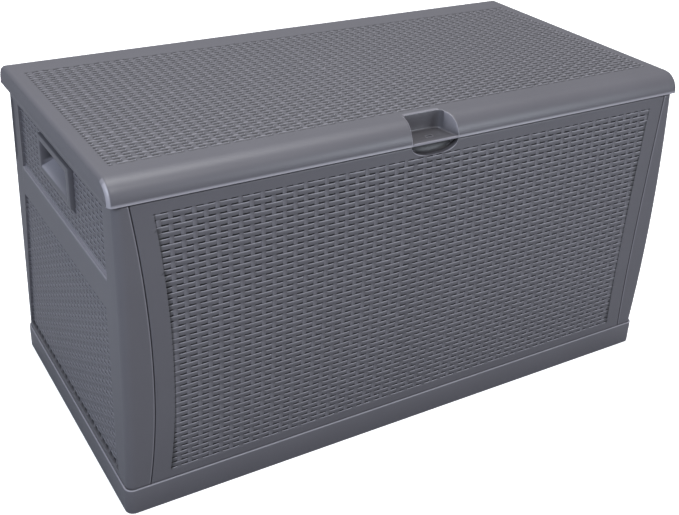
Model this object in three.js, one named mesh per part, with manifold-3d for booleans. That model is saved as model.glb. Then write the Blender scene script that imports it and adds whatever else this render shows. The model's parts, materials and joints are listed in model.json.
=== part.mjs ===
// Deck storage box: a resin garden chest with a hinged lid, in millimetres, +Z up.
// The origin is the middle of the footprint on the ground. The front faces -Y.
// Base tray, four wall panels, two hand grips and a hinged lid (shell, liner and two steel bars),
// held together by screws and three hinge pins.
import * as THREE from "three";
import { mergeVertices } from "three/addons/utils/BufferGeometryUtils.js";
import Module from "manifold-3d";

const wasm = await Module();
wasm.setup();

// ---------- driving sizes ----------
const LENGTH = 1210;            // lid and base, along X
const LID_DEPTH = 630;          // lid, along Y
const LID_OVERHANG = 14;        // lid passes the base by this at the rear
const HEIGHT = 644;             // top of the lid
const BASE_HEIGHT = 52;
const BASE_CORNER_R = 16;
const BASE_RIM = 18;            // width of the rim that the walls stand on
const FLOOR_T = 6;

const WALL = 8;                 // wall panels
const LAP = 4;                  // side panel's flange behind the front and back panels
const WALL_DROP = 41;           // top of the lid down to the walls' outer edge
const RIM_RISE = 6;             // rain rim that stands up inside the lid
const RIM_INSET = 6;
const BODY_INSET = 3;           // walls stand this far inside the base at the foot
const TAPER_END = 5.5;          // each end wall leans in by this at the top
const TAPER_BACK = 10;
const FRONT_LEAN = 1;
const BOW = 10;                 // front bulges by this at half height
const BODY_CORNER_R = 16;
const LOFT_STEPS = 8;

const SEAM_IN_TOP = 34;         // front panel's edge in from the end at its top,
const SEAM_IN_WAIST = 58;       // at its narrowest
const SEAM_IN_FOOT = 46;        // and at its foot
const WAIST_Z = 255;
const SEAM_POINTS = 6;
const SEAM_IN_BACK = 45;        // back panel's edge in from the end
const LAP_WIDTH = 30;           // how far the flange reaches behind the panel

const RECESS_UPPER = 5;         // woven band round the grip, behind the frame
const RECESS_LOWER = 4;         // woven field below the ledge
const STILE_FRONT = 48;         // smooth margins of the side panel
const STILE_REAR = 62;          // at the woven band,
const STILE_FIELD = 60;         // at the top of the woven field
const STILE_FOOT = 16;          // and at its foot
const BAND_DROP = 16;           // from the walls' outer edge down to the woven band,
const LEDGE_DROP = 146;         // to the ledge under it
const FIELD_DROP = 209;         // and to the woven field below
const FIELD_RISE = 11.7;        // field's foot above the walls' foot

const LID_DROP = 39;            // top of the lid down to its lower edge
const LID_T = 3.5;
const ROLL_FRONT = 37;          // radius of the rolled front edge
const ROLL_REAR = 32;
const LID_CORNER_R = 9;
const LINER_T = 3;
const LINER_DROP = 33;          // top of the lid down to the liner's underside
const LINER_MARGIN = 12;        // liner edge to the inside of the lid
const LINER_REAR = 38;          // and behind, clear of the hinge knuckles
const BAR_SIZE = 16;            // square steel tube
const BAR_WALL = 1.5;
const BAR_MARGIN = 50;
const BAR_SPACING = 270;
const BOSS_R = 6;
const BOSS_BEHIND_BAR = 60;

const POCKET_HALF = 50;         // latch pocket, half width at the front
const POCKET_HALF_BACK = 42;
const POCKET_DEPTH = 53;
const POCKET_R = 12;
const POCKET_DROP = 35;         // top of the lid down to the pocket's floor
const POCKET_WALL = 3;
const SLOT_LENGTH = 14;         // padlock slot
const SLOT_WIDTH = 5;
const SLOT_BACK = 23;           // behind the lid's front face
const NOTCH_HALF = 50;          // finger notch in the front panel
const NOTCH_DEPTH = 21;
const FINGER_MARGIN = 14;       // opening behind the notch, in from the notch's ends
const FINGER_RISE = 8;          // and up from its foot
const LOCK_TAB_WIDTH = 30;
const LOCK_TAB_T = 4;
const LOCK_TAB_REACH = 6;       // past the padlock slot

const GRIP_WIDTH = 150;         // mouth of the hand grip
const GRIP_HEIGHT = 50;
const GRIP_DEPTH = 52;
const GRIP_DROP = 83;           // walls' outer edge down to the grip's floor
const GRIP_BACK = 2;            // behind the middle of the base's depth
const GRIP_FRAME = 16;          // frame round the mouth
const GRIP_PROUD = 8;           // frame stands out from the woven band
const GRIP_WALL = 3;

const HINGE_IN = 175;           // outer hinges, in from the ends
const HINGE_DROP = 32;          // top of the lid down to the hinge axis
const HINGE_BACK = 15;          // axis in from the lid's rear face
const ARM_FOOT = 34;            // hinge arms start this far below the walls' top
const ARM_HEAD = 4;             // and meet the wall's inner corner this far below it
const ARM_BITE = 1;             // into the wall that an arm or web hangs on
const ARM_PROUD = 3;            // an arm's foot stands off the back wall
const ARM_NECK_OUT = 0.8;       // an arm's edge meets the knuckle here, in radii off the axis
const ARM_NECK_DROP = 0.6;
const WEB_RISE = 4;             // lid webs: lower rear corner above the axis
const WEB_BACK_IN = 12;         // upper rear corner in from the rear face, inside the roll
const WEB_BACK_DROP = 15;
const WEB_TOP_DROP = 3;         // top corner below the lid's top
const KNUCKLE_R = 7;
const KNUCKLE_LENGTH = 28;
const SIDE_KNUCKLE = 18;
const PIN_R = 3.2;
const ARM_CUT_RISE = 10;        // notches in the lid's rear wall, above the hinge axis
const ARM_CUT_GAP = 2;

const SCREW_R = 1.75;
const HEAD_R = 3.4;
const HEAD_T = 2.4;
const PANEL_SCREW_RISE = 98;    // lower panel screws, above the walls' foot
const PANEL_SCREW_DROP = 123;   // upper ones, below the walls' top
const BASE_SCREW_IN = 275;      // in from the ends
const BASE_SCREW_SINK = 25;     // the heads sit this deep in the base's underside
const BASE_SCREW_BITE = 14;     // and the tips this far above the base
const LINER_SCREW_IN = 125;

// ---------- clearances ----------
const GAP = 0.3;                // between touching pieces
const SCREW_GAP = 0.35;
const PIN_GAP = 0.1;
const KNUCKLE_GAP = 0.6;
const OVERCUT = 5;              // how far a cutter passes a face

const ROUND_PIN = 24;           // facets
const ROUND_SCREW = 10;
const ARC = 6;

// ---------- places worked out from the sizes ----------
const END = LENGTH / 2;
const BULGE = BOW + FRONT_LEAN / 2 - BODY_INSET;    // how far the walls pass the lid in front
const FRONT = (BULGE - LID_DEPTH) / 2;
const REAR = FRONT + LID_DEPTH;
const BASE_REAR = REAR - LID_OVERHANG;
const WALL_FOOT = BASE_HEIGHT + GAP;
const WALL_TOP = HEIGHT - WALL_DROP;
const BODY_TOP = WALL_TOP + RIM_RISE;
const SEAM_TOP = END - SEAM_IN_TOP;
const SEAM_WAIST = END - SEAM_IN_WAIST;
const SEAM_FOOT = END - SEAM_IN_FOOT;
const BACK_SEAM = END - SEAM_IN_BACK;
const LEDGE_Z = WALL_TOP - LEDGE_DROP;
const BAND_TOP_Z = WALL_TOP - BAND_DROP;
const FIELD_TOP_Z = WALL_TOP - FIELD_DROP;
const FIELD_FOOT_Z = WALL_FOOT + FIELD_RISE;
const LID_LIP_Z = HEIGHT - LID_DROP;
const LINER_Z = HEIGHT - LINER_DROP;
const POCKET_FLOOR_Z = HEIGHT - POCKET_DROP;
const GRIP_FOOT_Z = WALL_TOP - GRIP_DROP;
const HINGE_X = [HINGE_IN - END, 0, END - HINGE_IN];
const HINGE_Y = REAR - HINGE_BACK;
const HINGE_Z = HEIGHT - HINGE_DROP;
const PANEL_SCREW_Z = [WALL_FOOT + PANEL_SCREW_RISE, WALL_TOP - PANEL_SCREW_DROP];
const BASE_SCREW_X = [BASE_SCREW_IN - END, END - BASE_SCREW_IN];
const LINER_SCREW_X = [LINER_SCREW_IN - END, 0, END - LINER_SCREW_IN];
const SLOT_Y = FRONT + SLOT_BACK;

const RESIN = "#54565e";
const RESIN_INSIDE = "#4c4e55";
const STEEL = "#a9acb0";
const ZINC = "#b9bbbd";

// ---------- helpers ----------
function toSolid(geometry) {
  const bare = geometry.clone();
  bare.deleteAttribute("normal");
  bare.deleteAttribute("uv");
  const merged = mergeVertices(bare, 1e-4);
  return new wasm.Manifold(new wasm.Mesh({
    numProp: 3,
    vertProperties: new Float32Array(merged.attributes.position.array),
    triVerts: new Uint32Array(merged.index.array),
  }));
}

function box(x0, x1, y0, y1, z0, z1) {
  const geometry = new THREE.BoxGeometry(x1 - x0, y1 - y0, z1 - z0);
  geometry.translate((x0 + x1) / 2, (y0 + y1) / 2, (z0 + z1) / 2);
  return toSolid(geometry);
}

function roundedOutline(x0, x1, y0, y1, radius) {
  const shape = new THREE.Shape();
  shape.absarc(x1 - radius, y0 + radius, radius, -Math.PI / 2, 0);
  shape.absarc(x1 - radius, y1 - radius, radius, 0, Math.PI / 2);
  shape.absarc(x0 + radius, y1 - radius, radius, Math.PI / 2, Math.PI);
  shape.absarc(x0 + radius, y0 + radius, radius, Math.PI, 1.5 * Math.PI);
  return shape;
}

function extrudeUp(shape, z0, z1, options = {}) {
  const geometry = new THREE.ExtrudeGeometry(shape, {
    depth: z1 - z0, bevelEnabled: false, curveSegments: ARC, ...options,
  });
  geometry.translate(0, 0, z0);
  return geometry;
}

// a shape drawn in (x, z), carried along Y from y0 to y1
function extrudeBack(shape, y0, y1) {
  const geometry = new THREE.ExtrudeGeometry(shape, {
    depth: y1 - y0, bevelEnabled: false, curveSegments: ARC,
  });
  geometry.rotateX(Math.PI / 2);
  geometry.translate(0, y1, 0);
  return toSolid(geometry);
}

// a shape drawn in (y, z), carried along X from x0 to x1
function extrudeAcross(shape, x0, x1) {
  const geometry = new THREE.ExtrudeGeometry(shape, {
    depth: x1 - x0, bevelEnabled: false, curveSegments: ARC,
  });
  geometry.applyMatrix4(new THREE.Matrix4().makeBasis(
    new THREE.Vector3(0, 1, 0), new THREE.Vector3(0, 0, 1), new THREE.Vector3(1, 0, 0)));
  geometry.translate(x0, 0, 0);
  return toSolid(geometry);
}

// a rod from one point to another
function rod(from, to, radius, facets) {
  const start = new THREE.Vector3(...from);
  const way = new THREE.Vector3(...to).sub(start);
  const geometry = new THREE.CylinderGeometry(radius, radius, way.length(), facets);
  geometry.translate(0, way.length() / 2, 0);
  const turn = new THREE.Quaternion().setFromUnitVectors(
    new THREE.Vector3(0, 1, 0), way.clone().normalize());
  geometry.applyQuaternion(turn);
  geometry.translate(start.x, start.y, start.z);
  return toSolid(geometry);
}

function mirrorX(solid) {
  return solid.mirror([1, 0, 0]);
}

const group = new THREE.Group();

function place(name, solid, color, roughness = 0.62, metalness = 0) {
  const mesh = solid.getMesh();
  const geometry = new THREE.BufferGeometry();
  geometry.setAttribute("position", new THREE.BufferAttribute(new Float32Array(mesh.vertProperties), 3));
  geometry.setIndex(new THREE.BufferAttribute(new Uint32Array(mesh.triVerts), 1));
  geometry.computeVertexNormals();
  const node = new THREE.Mesh(geometry, new THREE.MeshStandardMaterial({ color, roughness, metalness }));
  node.name = name;
  group.add(node);
}

// ---------- body shape ----------
// The four walls are cut from one tapered, front-bowed block of rounded-rectangle section.
function heightShare(z) {
  return (z - WALL_FOOT) / (WALL_TOP - WALL_FOOT);
}

function bodyEnd(z) {
  return END - BODY_INSET - TAPER_END * heightShare(z);
}

function bodyFront(z) {
  const t = Math.min(heightShare(z), 1);
  return FRONT + BODY_INSET - FRONT_LEAN * t - BOW * 4 * t * (1 - t);
}

function bodyRear(z) {
  return BASE_REAR - BODY_INSET - TAPER_BACK * heightShare(z);
}

function bodyBlock(inset, z0 = WALL_FOOT, z1 = BODY_TOP) {
  const radius = Math.max(BODY_CORNER_R - inset, 2);
  const geometry = extrudeUp(roundedOutline(-END, END, -END, END, radius), z0, z1, {
    steps: LOFT_STEPS, curveSegments: 4,
  });
  const position = geometry.attributes.position;
  for (let i = 0; i < position.count; i += 1) {
    const z = position.getZ(i);
    const half = bodyEnd(z) - inset;
    const middle = (bodyFront(z) + bodyRear(z)) / 2;
    const reach = (bodyRear(z) - bodyFront(z)) / 2 - inset;
    // corners keep their radius: only the straight sides stretch
    const shift = (value, size) => Math.sign(value) * (Math.abs(value) + size - END);
    position.setX(i, shift(position.getX(i), half));
    position.setY(i, middle + shift(position.getY(i), reach));
  }
  return toSolid(geometry);
}

// half width of the front panel: a curve that is narrowest at the waist
function seamHalf(z) {
  const up = z > WAIST_Z;
  const span = up ? WALL_TOP - WAIST_Z : WAIST_Z - WALL_FOOT;
  const share = Math.min(Math.abs(z - WAIST_Z) / span, 1);
  return SEAM_WAIST + ((up ? SEAM_TOP : SEAM_FOOT) - SEAM_WAIST) * share * share;
}

function seamPrism(margin, y0, y1) {
  const heights = [];
  for (let i = 0; i <= SEAM_POINTS; i += 1) {
    heights.push(WALL_FOOT + (WAIST_Z - WALL_FOOT) * (i / SEAM_POINTS));
  }
  for (let i = 1; i <= SEAM_POINTS; i += 1) {
    heights.push(WAIST_Z + (WALL_TOP - WAIST_Z) * (i / SEAM_POINTS));
  }
  const right = heights.map((z) => new THREE.Vector2(seamHalf(z) + margin, z));
  right.unshift(new THREE.Vector2(SEAM_FOOT + margin, WALL_FOOT - OVERCUT));
  right.push(new THREE.Vector2(SEAM_TOP + margin, BODY_TOP + OVERCUT));
  const left = right.map((p) => new THREE.Vector2(-p.x, p.y)).reverse();
  return extrudeBack(new THREE.Shape([...right, ...left]), y0, y1);
}

const block = bodyBlock(0);
const shell = block.subtract(bodyBlock(WALL, WALL_FOOT - OVERCUT, BODY_TOP + OVERCUT));
const thickShell = block.subtract(bodyBlock(WALL + GAP + LAP, WALL_FOOT - OVERCUT, BODY_TOP + OVERCUT));
const rebateShell = bodyBlock(-OVERCUT, WALL_FOOT - OVERCUT, BODY_TOP + OVERCUT)
  .subtract(bodyBlock(WALL + GAP, WALL_FOOT - 2 * OVERCUT, BODY_TOP + 2 * OVERCUT));
// above the walls' outer top edge only the inset rain rim stands
const rimCut = box(-LENGTH, LENGTH, -LENGTH, LENGTH, WALL_TOP, BODY_TOP + OVERCUT)
  .subtract(bodyBlock(RIM_INSET, WALL_TOP - OVERCUT, BODY_TOP + 2 * OVERCUT));
const FRONT_ZONE = FRONT + 60;
const REAR_ZONE = BASE_REAR - 60;

// ---------- screws and their holes ----------
const screws = [];

function screw(name, head, tip) {
  const along = new THREE.Vector3(...tip).sub(new THREE.Vector3(...head)).normalize();
  const seat = new THREE.Vector3(...head).addScaledVector(along, HEAD_T);
  screws.push([name, rod(head, seat.toArray(), HEAD_R, ROUND_SCREW)
    .add(rod(seat.toArray(), tip, SCREW_R, ROUND_SCREW))]);
}

function screwHole(head, tip) {
  const along = new THREE.Vector3(...tip).sub(new THREE.Vector3(...head)).normalize();
  const end = new THREE.Vector3(...tip).addScaledVector(along, 1);
  return rod(head, end.toArray(), SCREW_R + SCREW_GAP, ROUND_SCREW);
}

const wallHoles = [];
const baseHoles = [];
let panelScrewCount = 0;
for (const side of [-1, 1]) {
  for (const z of PANEL_SCREW_Z) {
    const inFront = bodyFront(z) + WALL + GAP + LAP;
    const front = [side * (SEAM_WAIST - LAP_WIDTH / 2), inFront + GAP + HEAD_T, z];
    const frontTip = [front[0], bodyFront(z) + 2, z];
    const inRear = bodyRear(z) - WALL - GAP - LAP;
    const back = [side * (BACK_SEAM - LAP_WIDTH / 2), inRear - GAP - HEAD_T, z];
    const backTip = [back[0], bodyRear(z) - 2, z];
    for (const [head, tip] of [[front, frontTip], [back, backTip]]) {
      panelScrewCount += 1;
      screw(`panel_screw_${panelScrewCount}`, head, tip);
      wallHoles.push(screwHole(head, tip));
    }
  }
}

const baseScrewPlaces = [];
for (const x of BASE_SCREW_X) {
  baseScrewPlaces.push([x, bodyFront(WALL_FOOT) + WALL / 2]);
  baseScrewPlaces.push([x, bodyRear(WALL_FOOT) - WALL / 2]);
}
for (const side of [-1, 1]) {
  baseScrewPlaces.push([side * (bodyEnd(WALL_FOOT) - WALL / 2), (FRONT + BASE_REAR) / 2]);
}
baseScrewPlaces.forEach(([x, y], i) => {
  const head = [x, y, BASE_SCREW_SINK - GAP - HEAD_T];
  const tip = [x, y, BASE_HEIGHT + BASE_SCREW_BITE];
  screw(`base_screw_${i + 1}`, head, tip);
  wallHoles.push(screwHole(head, tip));
  baseHoles.push(screwHole(head, tip));
  baseHoles.push(rod([x, y, -OVERCUT], [x, y, BASE_SCREW_SINK], HEAD_R + SCREW_GAP, ROUND_SCREW));
});

function cutAll(solid, cutters) {
  return cutters.reduce((left, cutter) => left.subtract(cutter), solid);
}

// ---------- base tray ----------
function baseTray() {
  const outline = (inset) => roundedOutline(
    -END + inset, END - inset, FRONT + inset, BASE_REAR - inset, Math.max(BASE_CORNER_R - inset, 3));
  const tray = toSolid(extrudeUp(outline(0), 0, BASE_HEIGHT))
    .subtract(toSolid(extrudeUp(outline(BASE_RIM), FLOOR_T, BASE_HEIGHT + OVERCUT)));
  return cutAll(tray, baseHoles);
}

// ---------- walls ----------
function frontPanel() {
  let panel = shell.intersect(seamPrism(0, FRONT - 2 * BOW, FRONT_ZONE));
  panel = panel.subtract(rimCut);
  const inner = bodyFront(WALL_TOP) + WALL;
  const tabZ = WALL_TOP - LOCK_TAB_T;
  panel = panel.add(box(-LOCK_TAB_WIDTH / 2, LOCK_TAB_WIDTH / 2, inner - 1,
    SLOT_Y + SLOT_WIDTH + LOCK_TAB_REACH, tabZ - 1, WALL_TOP - 1));
  const notch = new THREE.Shape();
  notch.absellipse(0, WALL_TOP, NOTCH_HALF, NOTCH_DEPTH, Math.PI, 2 * Math.PI);
  notch.lineTo(NOTCH_HALF, BODY_TOP + OVERCUT);
  notch.lineTo(-NOTCH_HALF, BODY_TOP + OVERCUT);
  const notchCut = extrudeBack(notch, FRONT - 2 * BOW, inner - RIM_INSET / 2);
  const pocketRoom = box(-POCKET_HALF - POCKET_WALL - 3, POCKET_HALF + POCKET_WALL + 3,
    FRONT - OVERCUT, FRONT_ZONE, WALL_TOP, BODY_TOP + OVERCUT);
  const fingers = box(-NOTCH_HALF + FINGER_MARGIN, NOTCH_HALF - FINGER_MARGIN, FRONT - 2 * BOW,
    inner + OVERCUT, WALL_TOP - NOTCH_DEPTH + FINGER_RISE, BODY_TOP + OVERCUT)
    .subtract(box(-LOCK_TAB_WIDTH / 2, LOCK_TAB_WIDTH / 2, FRONT - 2 * BOW, FRONT_ZONE, 0, HEIGHT));
  const slot = padlockSlot(WALL_TOP - NOTCH_DEPTH, WALL_TOP + OVERCUT);
  return cutAll(panel, [notchCut, pocketRoom, fingers, slot, ...wallHoles]);
}

function backPanel() {
  let panel = shell.intersect(box(-BACK_SEAM, BACK_SEAM, REAR_ZONE, REAR, 0, HEIGHT)).subtract(rimCut);
  for (const hinge of HINGE_X) {
    for (const side of [-1, 1]) {
      const x0 = hinge + side * (KNUCKLE_LENGTH / 2 + KNUCKLE_GAP);
      const x1 = x0 + side * SIDE_KNUCKLE;
      const from = Math.min(x0, x1);
      const to = Math.max(x0, x1);
      const arm = new THREE.Shape();
      arm.moveTo(bodyRear(WALL_TOP) - ARM_BITE, WALL_TOP - ARM_FOOT);
      arm.lineTo(bodyRear(WALL_TOP) + ARM_PROUD, WALL_TOP - ARM_FOOT);
      arm.lineTo(HINGE_Y + KNUCKLE_R * ARM_NECK_OUT, HINGE_Z - KNUCKLE_R * ARM_NECK_DROP);
      arm.lineTo(HINGE_Y, HINGE_Z);
      arm.lineTo(HINGE_Y - KNUCKLE_R, HINGE_Z);
      arm.lineTo(bodyRear(WALL_TOP) - ARM_BITE, WALL_TOP - ARM_HEAD);
      panel = panel.add(extrudeAcross(arm, from, to));
      panel = panel.add(rod([from, HINGE_Y, HINGE_Z], [to, HINGE_Y, HINGE_Z], KNUCKLE_R, ROUND_PIN));
    }
    const reach = KNUCKLE_LENGTH / 2 + SIDE_KNUCKLE + OVERCUT;
    panel = panel.subtract(rod([hinge - reach, HINGE_Y, HINGE_Z], [hinge + reach, HINGE_Y, HINGE_Z],
      PIN_R + PIN_GAP, ROUND_PIN));
  }
  return cutAll(panel, wallHoles);
}

// the grip sits close to the middle of the base's depth
function gripMouthY() {
  const middle = (FRONT + BASE_REAR) / 2 + GRIP_BACK;
  return [middle - GRIP_WIDTH / 2, middle + GRIP_WIDTH / 2];
}

// right side panel; the left one is its mirror image
function sidePanel() {
  const farX = SEAM_WAIST - LAP_WIDTH;
  const frontCorner = thickShell.intersect(box(farX, LENGTH, -LENGTH, FRONT_ZONE, 0, HEIGHT));
  const rearCorner = thickShell.intersect(box(BACK_SEAM - LAP_WIDTH, LENGTH, REAR_ZONE, LENGTH, 0, HEIGHT));
  const corners = frontCorner.intersect(box(0, END - BODY_INSET - TAPER_END - WALL, -LENGTH, LENGTH, 0, HEIGHT))
    .add(rearCorner.intersect(box(0, END - BODY_INSET - TAPER_END - WALL, -LENGTH, LENGTH, 0, HEIGHT)));
  let panel = shell.intersect(box(farX, LENGTH, -LENGTH, LENGTH, 0, HEIGHT)).add(corners);
  panel = panel.subtract(rebateShell.intersect(seamPrism(GAP, FRONT - 3 * BOW, FRONT_ZONE)));
  panel = panel.subtract(rebateShell.intersect(
    box(-BACK_SEAM - GAP, BACK_SEAM + GAP, REAR_ZONE - 1, LENGTH, 0, HEIGHT)));
  panel = panel.subtract(rimCut);
  const y0 = FRONT + STILE_FRONT;
  const band = box(0, LENGTH, y0, bodyRear(WALL_TOP) - STILE_REAR, LEDGE_Z, BAND_TOP_Z)
    .subtract(bodyBlock(RECESS_UPPER, WALL_FOOT - OVERCUT, BODY_TOP + OVERCUT));
  const fieldOutline = new THREE.Shape([
    new THREE.Vector2(y0, FIELD_FOOT_Z),
    new THREE.Vector2(bodyRear(FIELD_FOOT_Z) - STILE_FOOT, FIELD_FOOT_Z),
    new THREE.Vector2(bodyRear(FIELD_TOP_Z) - STILE_FIELD, FIELD_TOP_Z),
    new THREE.Vector2(y0, FIELD_TOP_Z)]);
  const field = extrudeAcross(fieldOutline, 0, LENGTH)
    .subtract(bodyBlock(RECESS_LOWER, WALL_FOOT - OVERCUT, BODY_TOP + OVERCUT));
  const [mouth0, mouth1] = gripMouthY();
  const reach = GRIP_WALL + GAP;
  const gripHole = box(0, LENGTH, mouth0 - reach, mouth1 + reach,
    GRIP_FOOT_Z - reach, GRIP_FOOT_Z + GRIP_HEIGHT + reach);
  return cutAll(panel, [band, field, gripHole, ...wallHoles]);
}

// ---------- hand grips ----------
// right grip: a cup let into the side panel, with a frame round its mouth
function handGrip() {
  const [mouth0, mouth1] = gripMouthY();
  const top = GRIP_FOOT_Z + GRIP_HEIGHT;
  const seat = Math.max(bodyEnd(GRIP_FOOT_Z - GRIP_FRAME), bodyEnd(top)) - RECESS_UPPER + GAP;
  const face = seat + GRIP_PROUD;
  const cup = box(face - GRIP_DEPTH - GRIP_WALL, seat + 1, mouth0 - GRIP_WALL, mouth1 + GRIP_WALL,
    GRIP_FOOT_Z - GRIP_WALL, top + GRIP_WALL);
  const frame = box(seat, face, mouth0 - GRIP_FRAME, mouth1 + GRIP_FRAME / 2,
    GRIP_FOOT_Z - GRIP_FRAME, top + GRIP_FRAME / 2);
  const room = box(face - GRIP_DEPTH, face + OVERCUT, mouth0, mouth1, GRIP_FOOT_Z, top);
  return cup.add(frame).subtract(room);
}

// ---------- lid ----------
function lidProfile(inset) {
  const front = FRONT + inset;
  const rear = REAR - inset;
  const top = HEIGHT - inset;
  const foot = inset > 0 ? LID_LIP_Z - OVERCUT : LID_LIP_Z;
  const rollFront = ROLL_FRONT - inset;
  const rollRear = ROLL_REAR - inset;
  const shape = new THREE.Shape();
  shape.moveTo(front, foot);
  shape.lineTo(rear, foot);
  shape.absarc(rear - rollRear, top - rollRear, rollRear, 0, Math.PI / 2);
  shape.absarc(front + rollFront, top - rollFront, rollFront, Math.PI / 2, Math.PI);
  return shape;
}

function pocketPlan(grow, front) {
  const back = FRONT + POCKET_DEPTH + grow;
  const half = POCKET_HALF + grow;
  const halfBack = POCKET_HALF_BACK + grow;
  const radius = POCKET_R;
  const shape = new THREE.Shape();
  shape.moveTo(-half, front);
  shape.lineTo(half, front);
  shape.lineTo(halfBack, back - radius);
  shape.quadraticCurveTo(halfBack, back, halfBack - radius, back);
  shape.lineTo(-halfBack + radius, back);
  shape.quadraticCurveTo(-halfBack, back, -halfBack, back - radius);
  return shape;
}

function padlockSlot(z0, z1) {
  return toSolid(extrudeUp(roundedOutline(-SLOT_LENGTH / 2, SLOT_LENGTH / 2,
    SLOT_Y - SLOT_WIDTH / 2, SLOT_Y + SLOT_WIDTH / 2, SLOT_WIDTH / 2 - 0.01), z0, z1));
}

const linerFront = FRONT + LID_T + LINER_MARGIN;
const linerRear = REAR - LINER_REAR;
const barY = [-BAR_SPACING / 2, BAR_SPACING / 2];
const linerScrewPlaces = LINER_SCREW_X.flatMap((x) => barY.map((y) => [x, y + BOSS_BEHIND_BAR]));

function lidShell() {
  const plan = toSolid(extrudeUp(roundedOutline(-END, END, FRONT, REAR, LID_CORNER_R), 0, HEIGHT + OVERCUT));
  const outer = extrudeAcross(lidProfile(0), -END, END).intersect(plan);
  let lid = outer.subtract(extrudeAcross(lidProfile(LID_T), -END + LID_T, END - LID_T));
  lid = lid.add(toSolid(extrudeUp(pocketPlan(POCKET_WALL, FRONT), LID_LIP_Z, HEIGHT - 1)).intersect(outer));
  lid = lid.subtract(toSolid(extrudeUp(pocketPlan(0, FRONT - OVERCUT), POCKET_FLOOR_Z, HEIGHT + OVERCUT)));
  lid = lid.subtract(padlockSlot(LID_LIP_Z - OVERCUT, POCKET_FLOOR_Z + OVERCUT));
  for (const [x, y] of linerScrewPlaces) {
    lid = lid.add(rod([x, y, LINER_Z + LINER_T + GAP], [x, y, HEIGHT - LID_T + 1], BOSS_R, ROUND_SCREW));
    lid = lid.subtract(rod([x, y, LINER_Z], [x, y, HEIGHT - LID_T - 4], SCREW_R + SCREW_GAP, ROUND_SCREW));
  }
  for (const x of HINGE_X) {
    const half = KNUCKLE_LENGTH / 2;
    // the back panel's arms pass through the rear wall as the lid opens
    const cut = half + KNUCKLE_GAP + SIDE_KNUCKLE + ARM_CUT_GAP;
    lid = lid.subtract(box(x - cut, x + cut, HINGE_Y + KNUCKLE_R, REAR + OVERCUT,
      LID_LIP_Z - OVERCUT, HINGE_Z + ARM_CUT_RISE));
    const arm = new THREE.Shape();
    arm.moveTo(HINGE_Y, HINGE_Z);
    arm.lineTo(HINGE_Y + KNUCKLE_R, HINGE_Z);
    arm.lineTo(REAR - ARM_BITE, HINGE_Z + WEB_RISE);
    arm.lineTo(REAR - WEB_BACK_IN, HEIGHT - WEB_BACK_DROP);
    arm.lineTo(HINGE_Y - KNUCKLE_R, HEIGHT - WEB_TOP_DROP);
    arm.lineTo(HINGE_Y - KNUCKLE_R, HINGE_Z);
    const web = extrudeAcross(arm, x - half, x + half).intersect(outer);
    const knuckle = rod([x - half, HINGE_Y, HINGE_Z], [x + half, HINGE_Y, HINGE_Z], KNUCKLE_R, ROUND_PIN);
    const bore = rod([x - half - OVERCUT, HINGE_Y, HINGE_Z], [x + half + OVERCUT, HINGE_Y, HINGE_Z],
      PIN_R + PIN_GAP, ROUND_PIN);
    lid = lid.add(web).add(knuckle).subtract(bore);
  }
  return lid;
}

function lidLiner() {
  const end = END - LID_T - LINER_MARGIN;
  const plan = roundedOutline(-end, end, linerFront, linerRear, LID_CORNER_R);
  let liner = toSolid(extrudeUp(plan, LINER_Z, LINER_Z + LINER_T));
  liner = liner.subtract(toSolid(extrudeUp(pocketPlan(POCKET_WALL + LINER_T, FRONT - OVERCUT), 0, HEIGHT)));
  for (const [x, y] of linerScrewPlaces) {
    liner = liner.subtract(rod([x, y, 0], [x, y, HEIGHT], SCREW_R + SCREW_GAP, ROUND_SCREW));
  }
  return liner;
}

function lidBar(y) {
  const half = BAR_SIZE / 2;
  const middle = LINER_Z + LINER_T + GAP + half;
  const square = (reach) => [
    new THREE.Vector2(y - reach, middle - reach), new THREE.Vector2(y + reach, middle - reach),
    new THREE.Vector2(y + reach, middle + reach), new THREE.Vector2(y - reach, middle + reach)];
  const section = new THREE.Shape(square(half));
  section.holes.push(new THREE.Path(square(half - BAR_WALL)));
  return extrudeAcross(section, -END + BAR_MARGIN, END - BAR_MARGIN);
}

linerScrewPlaces.forEach(([x, y], i) => {
  screw(`liner_screw_${i + 1}`, [x, y, LINER_Z - GAP - HEAD_T], [x, y, HEIGHT - LID_T - 6]);
});

// ---------- assembly ----------
place("base_tray", baseTray(), RESIN);
place("front_panel", frontPanel(), RESIN);
place("back_panel", backPanel(), RESIN);
const side = sidePanel();
place("right_side_panel", side, RESIN);
place("left_side_panel", mirrorX(side), RESIN);
const grip = handGrip();
place("right_hand_grip", grip, RESIN);
place("left_hand_grip", mirrorX(grip), RESIN);
place("lid_shell", lidShell(), RESIN);
place("lid_liner", lidLiner(), RESIN_INSIDE);
place("lid_bar_front", lidBar(barY[0]), STEEL, 0.4, 0.9);
place("lid_bar_rear", lidBar(barY[1]), STEEL, 0.4, 0.9);
HINGE_X.forEach((x, i) => {
  const reach = KNUCKLE_LENGTH / 2 + KNUCKLE_GAP + SIDE_KNUCKLE;
  place(`hinge_pin_${i + 1}`, rod([x - reach, HINGE_Y, HINGE_Z], [x + reach, HINGE_Y, HINGE_Z],
    PIN_R, ROUND_PIN), STEEL, 0.35, 0.9);
});
for (const [name, solid] of screws) {
  place(name, solid, ZINC, 0.4, 0.8);
}

export default group;
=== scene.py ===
"""Deck storage box in slate grey resin: woven walls, a rolled lid with a latch pocket, two hand grips.

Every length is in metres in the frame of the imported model: +X along the box, +Y to the hinged rear, +Z up.
"""
import json
import logging
import math
from dataclasses import dataclass, field
from enum import Enum

import bpy
import numpy as np
from mathutils import Matrix, Vector

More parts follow.
